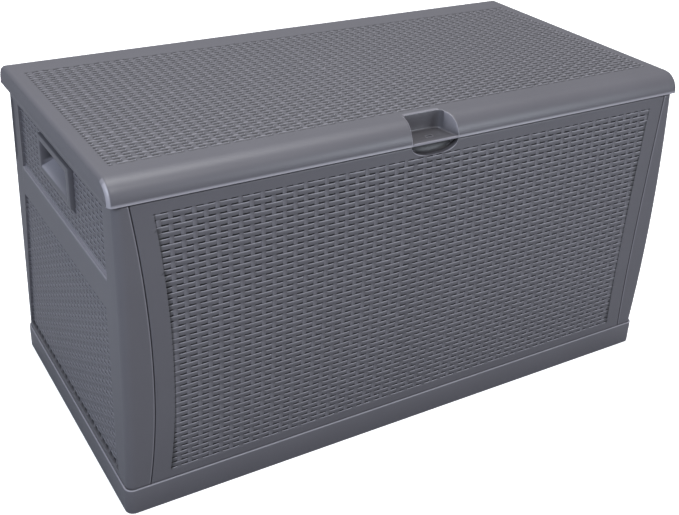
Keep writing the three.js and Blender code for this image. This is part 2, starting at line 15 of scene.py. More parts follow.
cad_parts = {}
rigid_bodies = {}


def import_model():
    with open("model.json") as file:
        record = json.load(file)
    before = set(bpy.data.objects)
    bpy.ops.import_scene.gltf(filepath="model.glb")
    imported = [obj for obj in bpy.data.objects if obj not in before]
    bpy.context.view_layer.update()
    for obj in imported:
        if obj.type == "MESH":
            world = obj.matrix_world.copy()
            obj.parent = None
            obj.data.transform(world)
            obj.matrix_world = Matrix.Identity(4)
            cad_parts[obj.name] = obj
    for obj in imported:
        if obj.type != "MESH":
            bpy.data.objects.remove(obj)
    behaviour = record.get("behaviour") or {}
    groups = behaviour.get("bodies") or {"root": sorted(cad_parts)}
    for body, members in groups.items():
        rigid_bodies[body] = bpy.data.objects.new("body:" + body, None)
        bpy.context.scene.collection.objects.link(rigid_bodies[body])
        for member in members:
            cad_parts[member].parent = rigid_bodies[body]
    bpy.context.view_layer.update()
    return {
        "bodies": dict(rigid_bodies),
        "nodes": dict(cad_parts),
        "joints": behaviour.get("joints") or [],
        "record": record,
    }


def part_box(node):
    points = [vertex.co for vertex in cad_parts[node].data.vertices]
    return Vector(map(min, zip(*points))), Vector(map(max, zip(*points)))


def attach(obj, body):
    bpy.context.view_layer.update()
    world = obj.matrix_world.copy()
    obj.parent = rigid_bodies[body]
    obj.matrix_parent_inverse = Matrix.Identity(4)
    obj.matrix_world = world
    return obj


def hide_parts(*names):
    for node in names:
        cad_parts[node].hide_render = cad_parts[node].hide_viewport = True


MM = 0.001
LOG = logging.getLogger("deck_box")
Array = np.ndarray
Triple = tuple[float, float, float]
TOUCH = 1e-7                    # lines nearer than this are the same line
EDGE_IN = np.array([0.0, 0.3, 1.0, 3.0])        # a softened edge, in edge sizes: places inwards from it
EDGE_DROP = np.array([1.1, 0.5, 0.12, 0.0])     # and how far the face has dropped at each


class Side(Enum):
    """The two ends of the box, by the sign of X."""

    LEFT = -1
    RIGHT = 1


# ---------- lines and curves ----------
def run(start: float, *legs: tuple[float, int]) -> Array:
    """Grid lines from start to each leg's end in turn.

    Args:
        start: where the first line lies.
        legs: pairs of (end, number of equal steps).

    Returns:
        The lines' places, start and every end among them.
    """
    lines = [np.array([start])]
    for end, steps in legs:
        lines.append(np.linspace(lines[-1][-1], end, steps + 1)[1:])
    return np.concatenate(lines)


def ease(low: float, high: float, value: Array) -> Array:
    """0 below low, 1 above high, and 3t^2 - 2t^3 of the share t between."""
    share = np.clip((value - low) / (high - low), 0.0, 1.0)
    return share * share * (3.0 - 2.0 * share)


def merge_lines(common: Array, special: Array, gap: float) -> Array:
    """Joins two sets of grid lines, leaving out common lines closer than gap to a special one."""
    clear = np.abs(common[:, None] - special[None, :]).min(axis=1) > gap
    return np.sort(np.concatenate([common[clear], special]))


def snap(lines: Array, edge: Array, step: float, sign: int) -> Array:
    """Moves two neighbouring lines in each row onto an edge that wanders across the grid.

    Args:
        lines: the grid lines, rising, or one such set for each row.
        edge: the edge's place at each row.
        step: how far inside the edge the second line goes.
        sign: +1 when the field lies below the edge, -1 when it lies above.

    Returns:
        The lines' places for each row, as an array of rows by lines.
    """
    places = np.broadcast_to(lines, (edge.size, lines.shape[-1])).copy()
    rows = np.arange(edge.size)
    if sign > 0:
        at = (places < edge[:, None]).sum(axis=1)
        places[rows, at] = edge
        places[rows, at - 1] = edge - step
    else:
        at = (places <= edge[:, None]).sum(axis=1) - 1
        places[rows, at] = edge
        places[rows, at + 1] = edge + step
    return places


# ---------- meshes ----------
def new_object(name: str, points: Array, loops: Array, sizes: Array,
               shade: Array | None = None) -> bpy.types.Object:
    """Makes a mesh object of faces given as one long list of corners.

    The signed volume of the faces' fans decides whether all faces are turned over, to point outwards.

    Args:
        name: the object's name.
        points: vertex places, n by 3.
        loops: the faces' corners, one face after another.
        sizes: how many corners each face has.
        shade: how dark (above 0) or bright (below 0) the painted shade and painted highlights make the colour
            at each vertex.

    Returns:
        The linked object, at the origin.
    """
    starts = np.concatenate([[0], np.cumsum(sizes)[:-1]])
    first = np.repeat(loops[starts], sizes)
    following = np.roll(loops, -1)
    following[starts + sizes - 1] = loops[starts]
    volume = np.einsum("ij,ij->i", points[first], np.cross(points[loops], points[following])).sum()
    if volume < 0:
        order = np.repeat(starts + sizes - 1, sizes) - (np.arange(loops.size) - np.repeat(starts, sizes))
        loops = loops[order]
    mesh = bpy.data.meshes.new(name)
    mesh.vertices.add(len(points))
    mesh.vertices.foreach_set("co", points.astype(np.float32).ravel())
    mesh.loops.add(loops.size)
    mesh.loops.foreach_set("vertex_index", loops.astype(np.int32))
    mesh.polygons.add(sizes.size)
    mesh.polygons.foreach_set("loop_start", starts.astype(np.int32))
    mesh.update(calc_edges=True)
    mesh.validate()
    if shade is not None:
        # the shade attribute holds painted shade (above 0) and painted highlights (below 0)
        mesh.attributes.new("shade", "FLOAT", "POINT").data.foreach_set("value", shade.astype(np.float32))
    mesh.polygons.foreach_set("use_smooth", np.ones(len(mesh.polygons), bool))
    mesh.set_sharp_from_angle(angle=math.radians(38))
    obj = bpy.data.objects.new(name, mesh)
    bpy.context.scene.collection.objects.link(obj)
    return obj


def grid_quads(rows: int, columns: int) -> Array:
    """The corners of a grid's quads, one quad to a row, for vertices numbered row by row."""
    index = np.arange(rows * columns).reshape(rows, columns)
    corners = (index[:-1, :-1], index[:-1, 1:], index[1:, 1:], index[1:, :-1])
    return np.stack(corners, axis=-1).reshape(-1, 4)


def shell(name: str, outer: Array, inner: Array, row_pick: Array, column_pick: Array,
          shade: Array | None = None) -> bpy.types.Object:
    """A closed wall between a fine outer surface and a coarse inner one.

    The outer surface is a grid of points. The inner one is a grid of the same size, of which only the picked
    rows and columns are used. Along the four borders one face joins each inner edge to the fine edge outside.

    Args:
        name: the object's name.
        outer: rows by columns by 3.
        inner: the same shape.
        row_pick: rising row numbers, the first and last row among them.
        column_pick: rising column numbers, the first and last column among them.
        shade: how dark or bright the painted shade and painted highlights make each outer point.

    Returns:
        The linked object.
    """
    rows, columns = outer.shape[:2]
    fine = np.arange(rows * columns).reshape(rows, columns)
    coarse_points = inner[np.ix_(row_pick, column_pick)]
    coarse = rows * columns + np.arange(row_pick.size * column_pick.size).reshape(coarse_points.shape[:2])
    quads = [grid_quads(rows, columns), rows * columns + grid_quads(*coarse.shape)[:, ::-1]]
    rings = []
    for k, (a, b) in enumerate(zip(column_pick[:-1], column_pick[1:])):
        rings.append(np.concatenate([fine[0, a:b + 1][::-1], coarse[0, k:k + 2]]))
        rings.append(np.concatenate([fine[-1, a:b + 1], coarse[-1, k:k + 2][::-1]]))
    for k, (a, b) in enumerate(zip(row_pick[:-1], row_pick[1:])):
        rings.append(np.concatenate([fine[a:b + 1, 0], coarse[k:k + 2, 0][::-1]]))
        rings.append(np.concatenate([fine[a:b + 1, -1][::-1], coarse[k:k + 2, -1]]))
    points = np.concatenate([outer.reshape(-1, 3), coarse_points.reshape(-1, 3)])
    loops = np.concatenate([np.concatenate(quads).ravel(), *rings])
    sizes = np.concatenate([np.full(sum(len(q) for q in quads), 4), [ring.size for ring in rings]])
    if shade is not None:
        shade = np.concatenate([shade.ravel(), np.zeros(coarse.size)])
    return new_object(name, points, loops, sizes, shade)


def tube(name: str, rings: Array, shade: Array | None = None) -> bpy.types.Object:
    """A closed solid of rings of points, with a flat face over the first ring and the last.

    Args:
        name: the object's name.
        rings: rings by points by 3, each ring closed on itself.
        shade: how dark or bright the painted shade and painted highlights make each ring.

    Returns:
        The linked object.
    """
    count, around = rings.shape[:2]
    index = np.arange(count * around).reshape(count, around)
    beside = np.roll(index, -1, axis=1)
    quads = np.stack([index[:-1], beside[:-1], beside[1:], index[1:]], axis=-1).reshape(-1, 4)
    loops = np.concatenate([quads.ravel(), index[0][::-1], index[-1]])
    sizes = np.concatenate([np.full(len(quads), 4), [around, around]])
    if shade is not None:
        shade = np.repeat(shade, around)
    return new_object(name, rings.reshape(-1, 3), loops, sizes, shade)


def join(name: str, pieces: list[bpy.types.Object]) -> bpy.types.Object:
    """Makes one object of several, which is then called name."""
    with bpy.context.temp_override(active_object=pieces[0], selected_editable_objects=pieces):
        bpy.ops.object.join()
    pieces[0].name = name
    return pieces[0]


def carve(obj: bpy.types.Object, cutter: bpy.types.Object) -> None:
    """Cuts one closed mesh out of another and removes the cutter."""
    cut = obj.modifiers.new("carve", "BOOLEAN")
    cut.operation = "DIFFERENCE"
    cut.solver = "MANIFOLD"
    cut.object = cutter
    bpy.context.view_layer.update()
    carved = bpy.data.meshes.new_from_object(obj.evaluated_get(bpy.context.evaluated_depsgraph_get()))
    obj.modifiers.clear()
    obj.data = carved
    bpy.data.objects.remove(cutter)


def block(low: Triple, high: Triple) -> bpy.types.Object:
    """A plain box between two corners, to carve with."""
    x = np.array([low[0], high[0], high[0], low[0]])
    y = np.array([low[1], low[1], high[1], high[1]])
    rings = [np.stack([x, y, np.full(4, z)], axis=-1) for z in (low[2], high[2])]
    return tube("cutter", np.array(rings))


def rounded_outline(low: tuple[float, float], high: tuple[float, float], radius: float,
                    steps: int = 8) -> Array:
    """Points round a rectangle with quarter-circle corners, anticlockwise from the lower right corner."""
    turn = np.linspace(0.0, math.pi / 2, steps + 1)
    corners = []
    for k, (cx, cy) in enumerate([(high[0] - radius, low[1] + radius), (high[0] - radius, high[1] - radius),
                                  (low[0] + radius, high[1] - radius), (low[0] + radius, low[1] + radius)]):
        angle = turn + (k - 1) * math.pi / 2
        corners.append(np.stack([cx + radius * np.cos(angle), cy + radius * np.sin(angle)], axis=-1))
    return np.concatenate(corners)


# ---------- finishes ----------
@dataclass(frozen=True)
class Recipe:
    """A material whose nodes are added one by one in front of its Principled shader."""

    material: bpy.types.Material

    @classmethod
    def start(cls, name: str) -> "Recipe":
        """A recipe for a new material."""
        material = bpy.data.materials.new(name)
        material.use_nodes = True
        return cls(material)

    def feed(self, node: bpy.types.Node, **inputs: float | tuple | bpy.types.NodeSocket) -> None:
        """Sets or links a node's inputs, each under its name with underscores for spaces."""
        for name, value in inputs.items():
            socket = node.inputs[name.replace("_", " ")]
            if isinstance(value, bpy.types.NodeSocket):
                self.material.node_tree.links.new(value, socket)
            else:
                socket.default_value = value

    def add(self, kind: str, **inputs: float | tuple | bpy.types.NodeSocket) -> bpy.types.Node:
        """Adds a shader node of the given kind and feeds it."""
        node = self.material.node_tree.nodes.new(f"ShaderNode{kind}")
        self.feed(node, **inputs)
        return node

    def mix(self, share: bpy.types.NodeSocket, first: tuple | bpy.types.NodeSocket,
            second: tuple) -> bpy.types.NodeSocket:
        """A colour between two, by share."""
        node = self.add("Mix")
        node.data_type = "RGBA"
        self.feed(node, Factor=share, A=first, B=second)
        return node.outputs["Result"]

    def spread(self, share: bpy.types.NodeSocket, middle: float, half: float) -> bpy.types.NodeSocket:
        """A value that runs with share from half below the middle to half above it."""
        return self.add("MapRange", Value=share, To_Min=middle - half, To_Max=middle + half).outputs["Result"]

    def finish(self, **inputs: float | tuple | bpy.types.NodeSocket) -> bpy.types.Material:
        """Feeds the Principled shader and hands over the material."""
        self.feed(self.material.node_tree.nodes["Principled BSDF"], **inputs)
        return self.material


def scaled(tone: Triple, factor: float) -> tuple[float, float, float, float]:
    """A tone made darker or lighter, with full alpha."""
    return (*[factor * c for c in tone], 1.0)


@dataclass(frozen=True)
class Resin:
    """Injection-moulded polypropylene with a fine spark-eroded grain and a satin sheen."""

    name: str
    tone: Triple
    roughness: float = 0.40
    drift: float = 9.0
    grain: float = 1500.0
    grain_strength: float = 0.10
    grain_height: float = 0.3 * MM
    # tone scales for the painted shade (dark) and the painted highlights (light)
    dark: float = 0.02
    light: float = 2.8

    def material(self) -> bpy.types.Material:
        """Mottled tone, darkened into painted shade or lightened into painted highlights by the shade
        attribute; grain as bump; a drift in roughness.
        """
        recipe = Recipe.start(self.name)
        place = recipe.add("TexCoord").outputs["Object"]
        drift = recipe.add("TexNoise", Scale=self.drift, Detail=4.0, Vector=place).outputs["Fac"]
        tone = recipe.mix(drift, scaled(self.tone, 0.95), scaled(self.tone, 1.05))
        shade = recipe.add("Attribute")
        shade.attribute_name = "shade"
        # painted shade where the attribute is above 0, painted highlights where it is below 0
        for scale, way in ((self.dark, 1.0), (self.light, -1.0)):
            share = recipe.add("MapRange", From_Max=way, Value=shade.outputs["Fac"]).outputs["Result"]
            tone = recipe.mix(share, tone, scaled(self.tone, scale))
        grain = recipe.add("TexNoise", Scale=self.grain, Detail=3.0, Vector=place).outputs["Fac"]
        bump = recipe.add("Bump", Strength=self.grain_strength, Distance=self.grain_height, Height=grain)
        return recipe.finish(Base_Color=tone, Roughness=recipe.spread(drift, self.roughness, 0.04),
                             Normal=bump.outputs["Normal"])


@dataclass(frozen=True)
class Plated:
    """Zinc-plated or galvanised steel: a crystalline spangle over a satin metal."""

    name: str
    tone: Triple
    roughness: float
    spangle: float = 160.0

    def material(self) -> bpy.types.Material:
        """Voronoi cells shift the tone and the roughness a little."""
        recipe = Recipe.start(self.name)
        place = recipe.add("TexCoord").outputs["Object"]
        cells = recipe.add("TexVoronoi", Scale=self.spangle, Vector=place).outputs["Distance"]
        tone = recipe.mix(cells, scaled(self.tone, 0.82), scaled(self.tone, 1.0))
        return recipe.finish(Metallic=1.0, Base_Color=tone,
                             Roughness=recipe.spread(cells, self.roughness, 0.06))


@dataclass
class Workshop:
    """Dresses the pieces: finish, body, material slot and the CAD nodes that each one stands for."""

    finishes: dict[str, bpy.types.Material] = field(default_factory=dict)

    def add_finish(self, slot: str, finish: Resin | Plated) -> None:
        """Keeps a finish under the name of its material slot."""
        self.finishes[slot] = finish.material()

    def fit(self, piece: bpy.types.Object, body: str, slot: str, *nodes: str) -> None:
        """Gives a new piece its finish, body and slot, and hides the CAD nodes that it replaces."""
        piece.data.materials.clear()
        piece.data.materials.append(self.finishes[slot])
        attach(piece, body)
        if nodes:
            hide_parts(*nodes)
        faces = len(piece.data.polygons)
        LOG.info("%s: %d faces, on %s, for %s", piece.name, faces, body, ", ".join(nodes) or "-")

    def dress(self, node: bpy.types.Object, slot: str) -> None:
        """Gives a CAD node that stays its finish."""
        node.data.materials.clear()
        node.data.materials.append(self.finishes[slot])
        LOG.info("%s: kept, in %s", node.name, slot)


# ---------- the woven relief ----------
@dataclass(frozen=True)
class Weave:
    """Moulded wicker: flat strands that pass over every other upright stake, by turns from row to row."""

    stake_pitch: float = 20.2 * MM
    stake_half: float = 3.6 * MM
    flank: float = 0.8 * MM
    row_pitch: float = 11.0 * MM
    groove_half: float = 0.95 * MM
    groove_depth: float = 2.7 * MM
    stake_drop: float = 0.35 * MM
    saddle: float = 0.55 * MM
    dip: float = 0.8 * MM
    pit: float = 0.0
    pit_reach: float = 2.0 * MM
    pit_length: float = 3.2 * MM
    pit_out: float = 5.8 * MM
    # painted shade in the pits
    pit_shade: float = 1.3
    # painted highlight on a stake's lit flank
    flank_painted_highlight: float = -0.25
    # painted shade over a covered stake's saddle
    saddle_shade: float = 0.3

    def stake_lines(self, low: float, high: float) -> Array:
        """Grid lines across the strands: each stake's two flanks, and the middle of each bay."""
        stakes = np.arange(math.floor(low / self.stake_pitch), math.ceil(high / self.stake_pitch) + 1)
        wing = self.stake_half + self.flank
        if self.pit > 0:
            steps = np.array([self.pit_out - self.pit_length, self.pit_out, self.pit_out + self.pit_length])
            offsets = np.concatenate([-steps[::-1], steps])
        else:
            offsets = np.array([-wing, -self.stake_half, self.stake_half, wing, self.stake_pitch / 2])
        lines = (stakes[:, None] * self.stake_pitch + offsets).ravel()
        return lines[(lines > low) & (lines < high)]

    def row_stops(self) -> tuple[Array, Array]:
        """Places down one row from the groove's middle, and the strand's depth below the face at each."""
        g, pitch = self.groove_half, self.row_pitch
        if self.pit > 0:
            middle = pitch / 2
            stops = [0.0, middle - self.pit_reach, middle, middle + self.pit_reach]
            depths = [self.groove_depth, 0.1 * MM, 0.0, 0.1 * MM]
        else:
            stops = [g, g + 0.3 * MM, g + 0.9 * MM, g + 2.2 * MM, pitch - g - 0.6 * MM, pitch - g]
            depths = [self.groove_depth, 1.3 * MM, 0.5 * MM, 0.05 * MM, 0.3 * MM, self.groove_depth]
        return np.array(stops), np.array(depths)

    def row_lines(self, low: float, high: float, origin: float) -> Array:
        """Grid lines along the strands, between low and high, for rows counted from a groove at origin."""
        stops = self.row_stops()[0]
        first = math.floor((low - origin) / self.row_pitch)
        rows = np.arange(first, math.ceil((high - origin) / self.row_pitch) + 2)
        lines = np.sort((rows[:, None] * self.row_pitch - stops + origin).ravel())
        return lines[(lines > low) & (lines < high)]

    def row_marks(self) -> Array:
        """Painted light and shade at each of the row's stops: 1 is painted shade in a hollow, -1 a painted
        highlight on an upper edge.
        """
        if self.pit > 0:
            return np.array([1.0, -0.85, -0.1, 0.35])
        return np.array([1.0, 0.85, -1.0, 0.0, 0.15, 1.0])

    def cell(self, along: Array, across: Array, origin: float) -> tuple[Array, Array, Array, Array]:
        """Place in the weave: down the row, off the nearest stake, nearness to it, and if it is on top."""
        down = np.mod(origin - across, self.row_pitch)
        row = np.floor((origin - across) / self.row_pitch)
        stake = np.round(along / self.stake_pitch)
        off = along - stake * self.stake_pitch
        near = 1.0 - np.clip((np.abs(off) - self.stake_half) / self.flank, 0.0, 1.0)
        return down, off, near, np.mod(stake + row, 2) > 0.5

    def section(self, down: Array, values: Array) -> Array:
        """Carries values given at the row's stops down the row, from one groove to the next."""
        stops = self.row_stops()[0]
        ends = np.concatenate([[stops[-1] - self.row_pitch], stops, [stops[0] + self.row_pitch]])
        return np.interp(down, ends, np.concatenate([[values[-1]], values, [values[0]]]))

    def shade(self, along: Array, across: Array, origin: float) -> Array:
        """Painted light and shade, dark towards 1 and bright towards -1: painted shade in hollows, pits and
        saddles, painted highlights on upper edges and a stake's lit flank.
        """
        down, off, near, on_top = self.cell(along, across, origin)
        marks = self.section(down, self.row_marks())
        # painted highlight along the left edge of each stake that is on top
        lit_flank = self.flank_painted_highlight * (np.abs(off + self.stake_half) < 0.1 * MM)
        on_stake = np.where(on_top, lit_flank, np.minimum(marks, self.saddle_shade))
        # painted shade, deepest in the pits
        marks = marks + self.pit_shade * self.cone(down, off, on_top)
        return near * on_stake + (1.0 - near) * marks

    def cone(self, down: Array, off: Array, on_top: Array) -> Array:
        """The pits on both sides of a stake that is on top, as a share that is 1 at their deepest points."""
        if self.pit == 0:
            return np.zeros_like(down)
        beside = np.abs(np.abs(off) - self.pit_out) / self.pit_length
        cone = 1.0 - np.maximum(beside, np.abs(down - self.row_pitch / 2) / self.pit_reach)
        return np.where(on_top, np.clip(cone, 0.0, 1.0), 0.0)

    def depth(self, along: Array, across: Array, origin: float) -> Array:
        """How far the relief lies below the face.

        A strand's section runs from groove to groove. Near a stake the groove fills up to a saddle. Where the
        stake is on top, its flat face shows and the strand dips towards it on both sides.

        Args:
            along: places along the strands, with a stake at every whole stake_pitch.
            across: places across the strands.
            origin: a groove's place across the strands.

        Returns:
            Depths, 0 at the crowns.
        """
        down, off, near, on_top = self.cell(along, across, origin)
        section = self.section(down, self.row_stops()[1])
        saddle = np.minimum(section, self.saddle)
        half = self.stake_pitch / 2
        bay = np.clip((half - np.abs(off)) / (half - self.stake_half - self.flank), 0.0, 1.0)
        strand = section + self.dip * bay * bay * on_top + self.pit * self.cone(down, off, on_top)
        return near * np.where(on_top, self.stake_drop, saddle) + (1.0 - near) * strand


WALL_WEAVE = Weave()
LID_WEAVE = Weave(groove_depth=1.1 * MM, saddle=0.6 * MM, dip=0.8 * MM, pit=3.2 * MM)


# ---------- sizes taken from the frame ----------
RIM_UP = 6 * MM                 # the rain rim stands this far above the walls
RIM_IN = 6 * MM                 # and this far inside their outer faces
RIM_THICK = 3.3 * MM
RIM_ROOT = 4 * MM               # its foot starts this far below the walls' top
POCKET_CLEAR = 56 * MM          # half the gap that rim and liner leave for the latch pocket


@dataclass(frozen=True)
class Envelope:
    """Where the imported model's main faces lie."""

    end: float
    front: float
    rear: float
    top: float
    lip: float
    base_top: float
    base_rear: float
    wall_foot: float
    wall_top: float
    hinge_y: float
    hinge_z: float

    @classmethod
    def read(cls, frame: dict) -> "Envelope":
        """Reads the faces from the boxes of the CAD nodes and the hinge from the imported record."""
        lid_low, lid_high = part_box("lid_shell")
        base_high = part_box("base_tray")[1]
        wall_low, wall_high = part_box("front_panel")
        hinge = frame["record"]["behaviour"]["joints"][0]["pos_m"]
        return cls(end=lid_high.x, front=lid_low.y, rear=lid_high.y, top=lid_high.z, lip=lid_low.z,
                   base_top=base_high.z, base_rear=base_high.y, wall_foot=wall_low.z,
                   wall_top=wall_high.z - RIM_UP, hinge_y=hinge[1], hinge_z=hinge[2])


@dataclass(frozen=True)
class BodyForm:
    """The tapered, front-bowed block that the four walls are faces of."""

    env: Envelope
    inset: float = 3 * MM
    taper_end: float = 5.5 * MM
    taper_back: float = 10 * MM
    lean: float = 1 * MM
    bow: float = 10 * MM
    corner: float = 16 * MM
    wall: float = 8 * MM
    seam_in_top: float = 34 * MM
    seam_in_waist: float = 58 * MM
    seam_in_foot: float = 46 * MM
    waist: float = 255 * MM
    seam_in_back: float = 45 * MM

    def share(self, z: Array) -> Array:
        """Height as a share, 0 at the walls' foot and 1 at their top."""
        return (z - self.env.wall_foot) / (self.env.wall_top - self.env.wall_foot)

    def end(self, z: Array) -> Array:
        """Half length at height z: it falls in a straight line."""
        return self.env.end - self.inset - self.taper_end * self.share(z)

    def front(self, z: Array) -> Array:
        """Y of the front face: a straight lean and a parabola that is deepest at half height."""
        t = np.minimum(self.share(z), 1.0)
        return self.env.front + self.inset - self.lean * t - self.bow * 4.0 * t * (1.0 - t)

    def rear(self, z: Array) -> Array:
        """Y of the rear face: it leans in, in a straight line."""
        return self.env.base_rear - self.inset - self.taper_back * self.share(z)

    def seam(self, z: Array) -> Array:
        """Half width of the front panel: two half parabolas that meet at the waist."""
        above = z > self.waist
        span = np.where(above, self.env.wall_top - self.waist, self.waist - self.env.wall_foot)
        t = np.minimum(np.abs(z - self.waist) / span, 1.0)
        widest = np.where(above, self.seam_in_top, self.seam_in_foot)
        return self.env.end - self.seam_in_waist + (self.seam_in_waist - widest) * t * t


# ---------- sub-assemblies ----------
@dataclass
class BasePlinth:
    """The base tray: a plinth with softened edges, a rim for the walls and a flat floor."""

    env: Envelope
    corner: float = 16 * MM
    edge: float = 1.8 * MM
    rim: float = 18 * MM
    floor: float = 6 * MM
    # painted highlight along the top edge's chamfer
    edge_painted_highlight: float = -0.8
    # painted shade in the joint where the walls stand on the base
    joint_shade: float = 0.3
    head: float = 3.9 * MM
    head_top: float = 25 * MM

    def build(self, shop: Workshop, screws: list[str]) -> None:
        """Carries a profile of (inset, height, shade) round the outline, from foot to inner floor; the shade
        is a painted highlight on the top edge and painted shade in the joint under the walls.
        """
        # sheen is the painted highlight on the top edge
        e, top, rim, sheen = self.edge, self.env.base_top, self.rim, self.edge_painted_highlight
        profile = [(2.0 * e, 0.0, 0.0), (e, 0.0, 0.0), (0.3 * e, 0.25 * e, 0.0), (0.0, e, 0.0),
                   (0.0, top - e, 0.0), (0.12 * e, top - 0.55 * e, 0.5 * sheen),
                   (0.4 * e, top - 0.2 * e, sheen), (e, top, sheen),
                   (2.0 * e, top, self.joint_shade), (rim - e, top, 0.0), (rim, top - e, 0.0),
                   (rim + e, self.floor + e, 0.0), (rim + 2.0 * e, self.floor, 0.0)]
        rings, shade = [], []
        for inset, z, mark in profile:
            radius = max(self.corner - inset, 3 * MM)
            outline = rounded_outline((-self.env.end + inset, self.env.front + inset),
                                      (self.env.end - inset, self.env.base_rear - inset), radius)
            rings.append(np.column_stack([outline, np.full(len(outline), z)]))
            shade.append(mark)
        tray = tube("base_plinth", np.array(rings), np.array(shade))
        for name in sorted(screws):
            low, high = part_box(name)
            centre = (low + high) / 2
            carve(tray, self.counterbore(centre.x, centre.y))
        shop.fit(tray, "box", "resin", "base_tray")

    def counterbore(self, x: float, y: float, facets: int = 24) -> bpy.types.Object:
        """A short round cutter from under the floor up to a screw's head."""
        turn = np.linspace(0.0, 2 * math.pi, facets, endpoint=False)
        ring = np.stack([x + self.head * np.cos(turn), y + self.head * np.sin(turn)], axis=-1)
        levels = (-1 * MM, self.head_top)
        return tube("cutter", np.array([np.column_stack([ring, np.full(facets, z)]) for z in levels]))


@dataclass
class WovenFrontPanel:
    """The bowed front: a smooth border round a woven field, with a finger notch under the lid's pocket."""

    form: BodyForm
    weave: Weave
    edge: float = 1.2 * MM
    seam_gap: float = 0.7 * MM
    field_top: float = 22 * MM
    field_foot: float = 18.7 * MM
    border: float = 35 * MM
    # painted shade along the woven field's side borders
    border_shade: float = 0.8
    notch_half: float = 50 * MM
    notch_depth: float = 21 * MM
    # painted highlight on the bead round the notch
    notch_painted_highlight: float = -0.9
    scoop_depth: float = 9 * MM
    step: float = 0.8 * MM

    def columns(self) -> Array:
        """Lines across X between the side edges: the weave's own, and cosine-spaced ones over the notch."""
        reach = self.form.env.end - self.form.seam_in_waist - 4 * MM
        notch = self.notch_half * np.cos(np.linspace(0.0, math.pi, 25))
        special = np.concatenate([[-reach], notch, [reach]])
        return merge_lines(self.weave.stake_lines(-reach, reach), special, 0.7 * MM)

    def field(self) -> tuple[float, float]:
        """The woven field's top and foot."""
        return self.form.env.wall_top - self.field_top, self.form.env.wall_foot + self.field_foot

    def arch(self, x: Array) -> Array:
        """The notch's half ellipse as a share of its depth, 0 beside the notch."""
        return np.sqrt(np.clip(1.0 - (x / self.notch_half) ** 2, 0.0, 1.0))

    def levels(self, x: Array) -> Array:
        """Heights of the rows: level up to the field's top, and six above that close up to the rim."""
        env, e = self.form.env, self.edge
        top, foot = self.field()
        woven = self.weave.row_lines(foot + self.step, top - 0.3 * MM, top)
        low = np.array([0.0, 0.3 * e, e, 2.5 * e]) + env.wall_foot
        head = np.array([0.45, 0.9, 1.6]) * MM + top
        z = np.concatenate([low, run(foot - 5 * MM, (foot, 1)), [foot + self.step], woven, head])
        rim = env.wall_top - self.notch_depth * self.arch(x)
        room = np.maximum(rim, head[-1] + 0.6 * MM) - head[-1]
        most = room[:, None] * np.array([0.6, 0.4, 0.2, 0.0])
        below = np.minimum(np.array([2.4, 1.0, 0.35, 0.0]) * e, most)
        last = head[-1] + room - below.T
        lift = head[-1] + (last[0] - head[-1]) * np.array([0.35, 0.7])[:, None]
        return np.concatenate([np.broadcast_to(z[:, None], (z.size, x.size)), lift, last])

    def relief(self, x: Array, across: Array, up: Array) -> tuple[Array, Array]:
        """Depth below the front's curve, and shade: weave, softened foot, and the bead along the notch, with
        the weave's painted light and shade, painted shade along the field's border and a painted highlight on
        the bead.
        """
        e, (top, foot) = self.edge, self.field()
        field_edge = self.form.seam(up[:, :1]) - self.border
        inside = (np.abs(across) < field_edge - TOUCH) & (up > foot + TOUCH) & (up < top + 0.6 * MM)
        depth = np.where(inside, self.weave.depth(across, up, top), 0.0)
        # the weave's painted shade in hollows and painted highlights on edges
        shade = np.where(inside, self.weave.shade(across, up, top), 0.0)
        # painted shade: a dark line just inside the field's side borders
        shade[inside & (np.abs(across) > field_edge - 1.5 * self.step)] = self.border_shade
        arch = self.arch(x)
        depth[:3] += np.array([1.0, 0.3, 0.0])[:, None] * e
        depth[-3:] += np.array([0.12, 0.45, 1.0])[:, None] * e
        depth[-3:] -= np.array([0.9, 1.1, 0.5])[:, None] * MM * (arch > 0)
        # painted highlight on the notch's bead
        shade[-3:-1, arch > 0] = self.notch_painted_highlight
        return depth, shade

    def build(self, shop: Workshop) -> None:
        """Lays the grid out, adds four columns for each softened side edge, and joins scoop and rim to it."""
        form, e = self.form, self.edge
        x = self.columns()
        up = self.levels(x)
        seam = form.seam(up[:, 0])
        across = np.broadcast_to(x, up.shape)
        across = snap(snap(across, seam - self.border, self.step, 1), self.border - seam, self.step, -1)
        depth, shade = self.relief(x, across, up)
        sides = (seam - self.seam_gap)[:, None] - EDGE_IN[::-1] * e
        across = np.concatenate([-sides[:, ::-1], across, sides], axis=1)
        pad = np.broadcast_to(EDGE_DROP[::-1] * e, sides.shape)
        depth = np.concatenate([pad[:, ::-1] + depth[:, :1], depth, pad + depth[:, -1:]], axis=1)
        shade = np.pad(shade, ((0, 0), (4, 4)))
        up = np.pad(up, ((0, 0), (4, 4)), mode="edge")
        outer = np.stack([across, form.front(up) + depth, up], axis=-1)
        inner = np.stack([across, form.front(up) + form.wall, up], axis=-1)
        rows = np.unique(np.concatenate([np.arange(0, len(up), 24), [len(up) - 1, len(up) - 3]]))
        notch = np.flatnonzero(np.abs(x) <= self.notch_half + TOUCH) + 4
        columns = np.unique(np.concatenate([[0, across.shape[1] - 1], notch[::2], [notch[0], notch[-1]]]))
        panel = shell("front_panel_woven", outer, inner, rows, columns, shade)
        panel = join("front_panel_woven", [panel, self.scoop(), self.rim()])
        shop.fit(panel, "box", "resin", "front_panel")

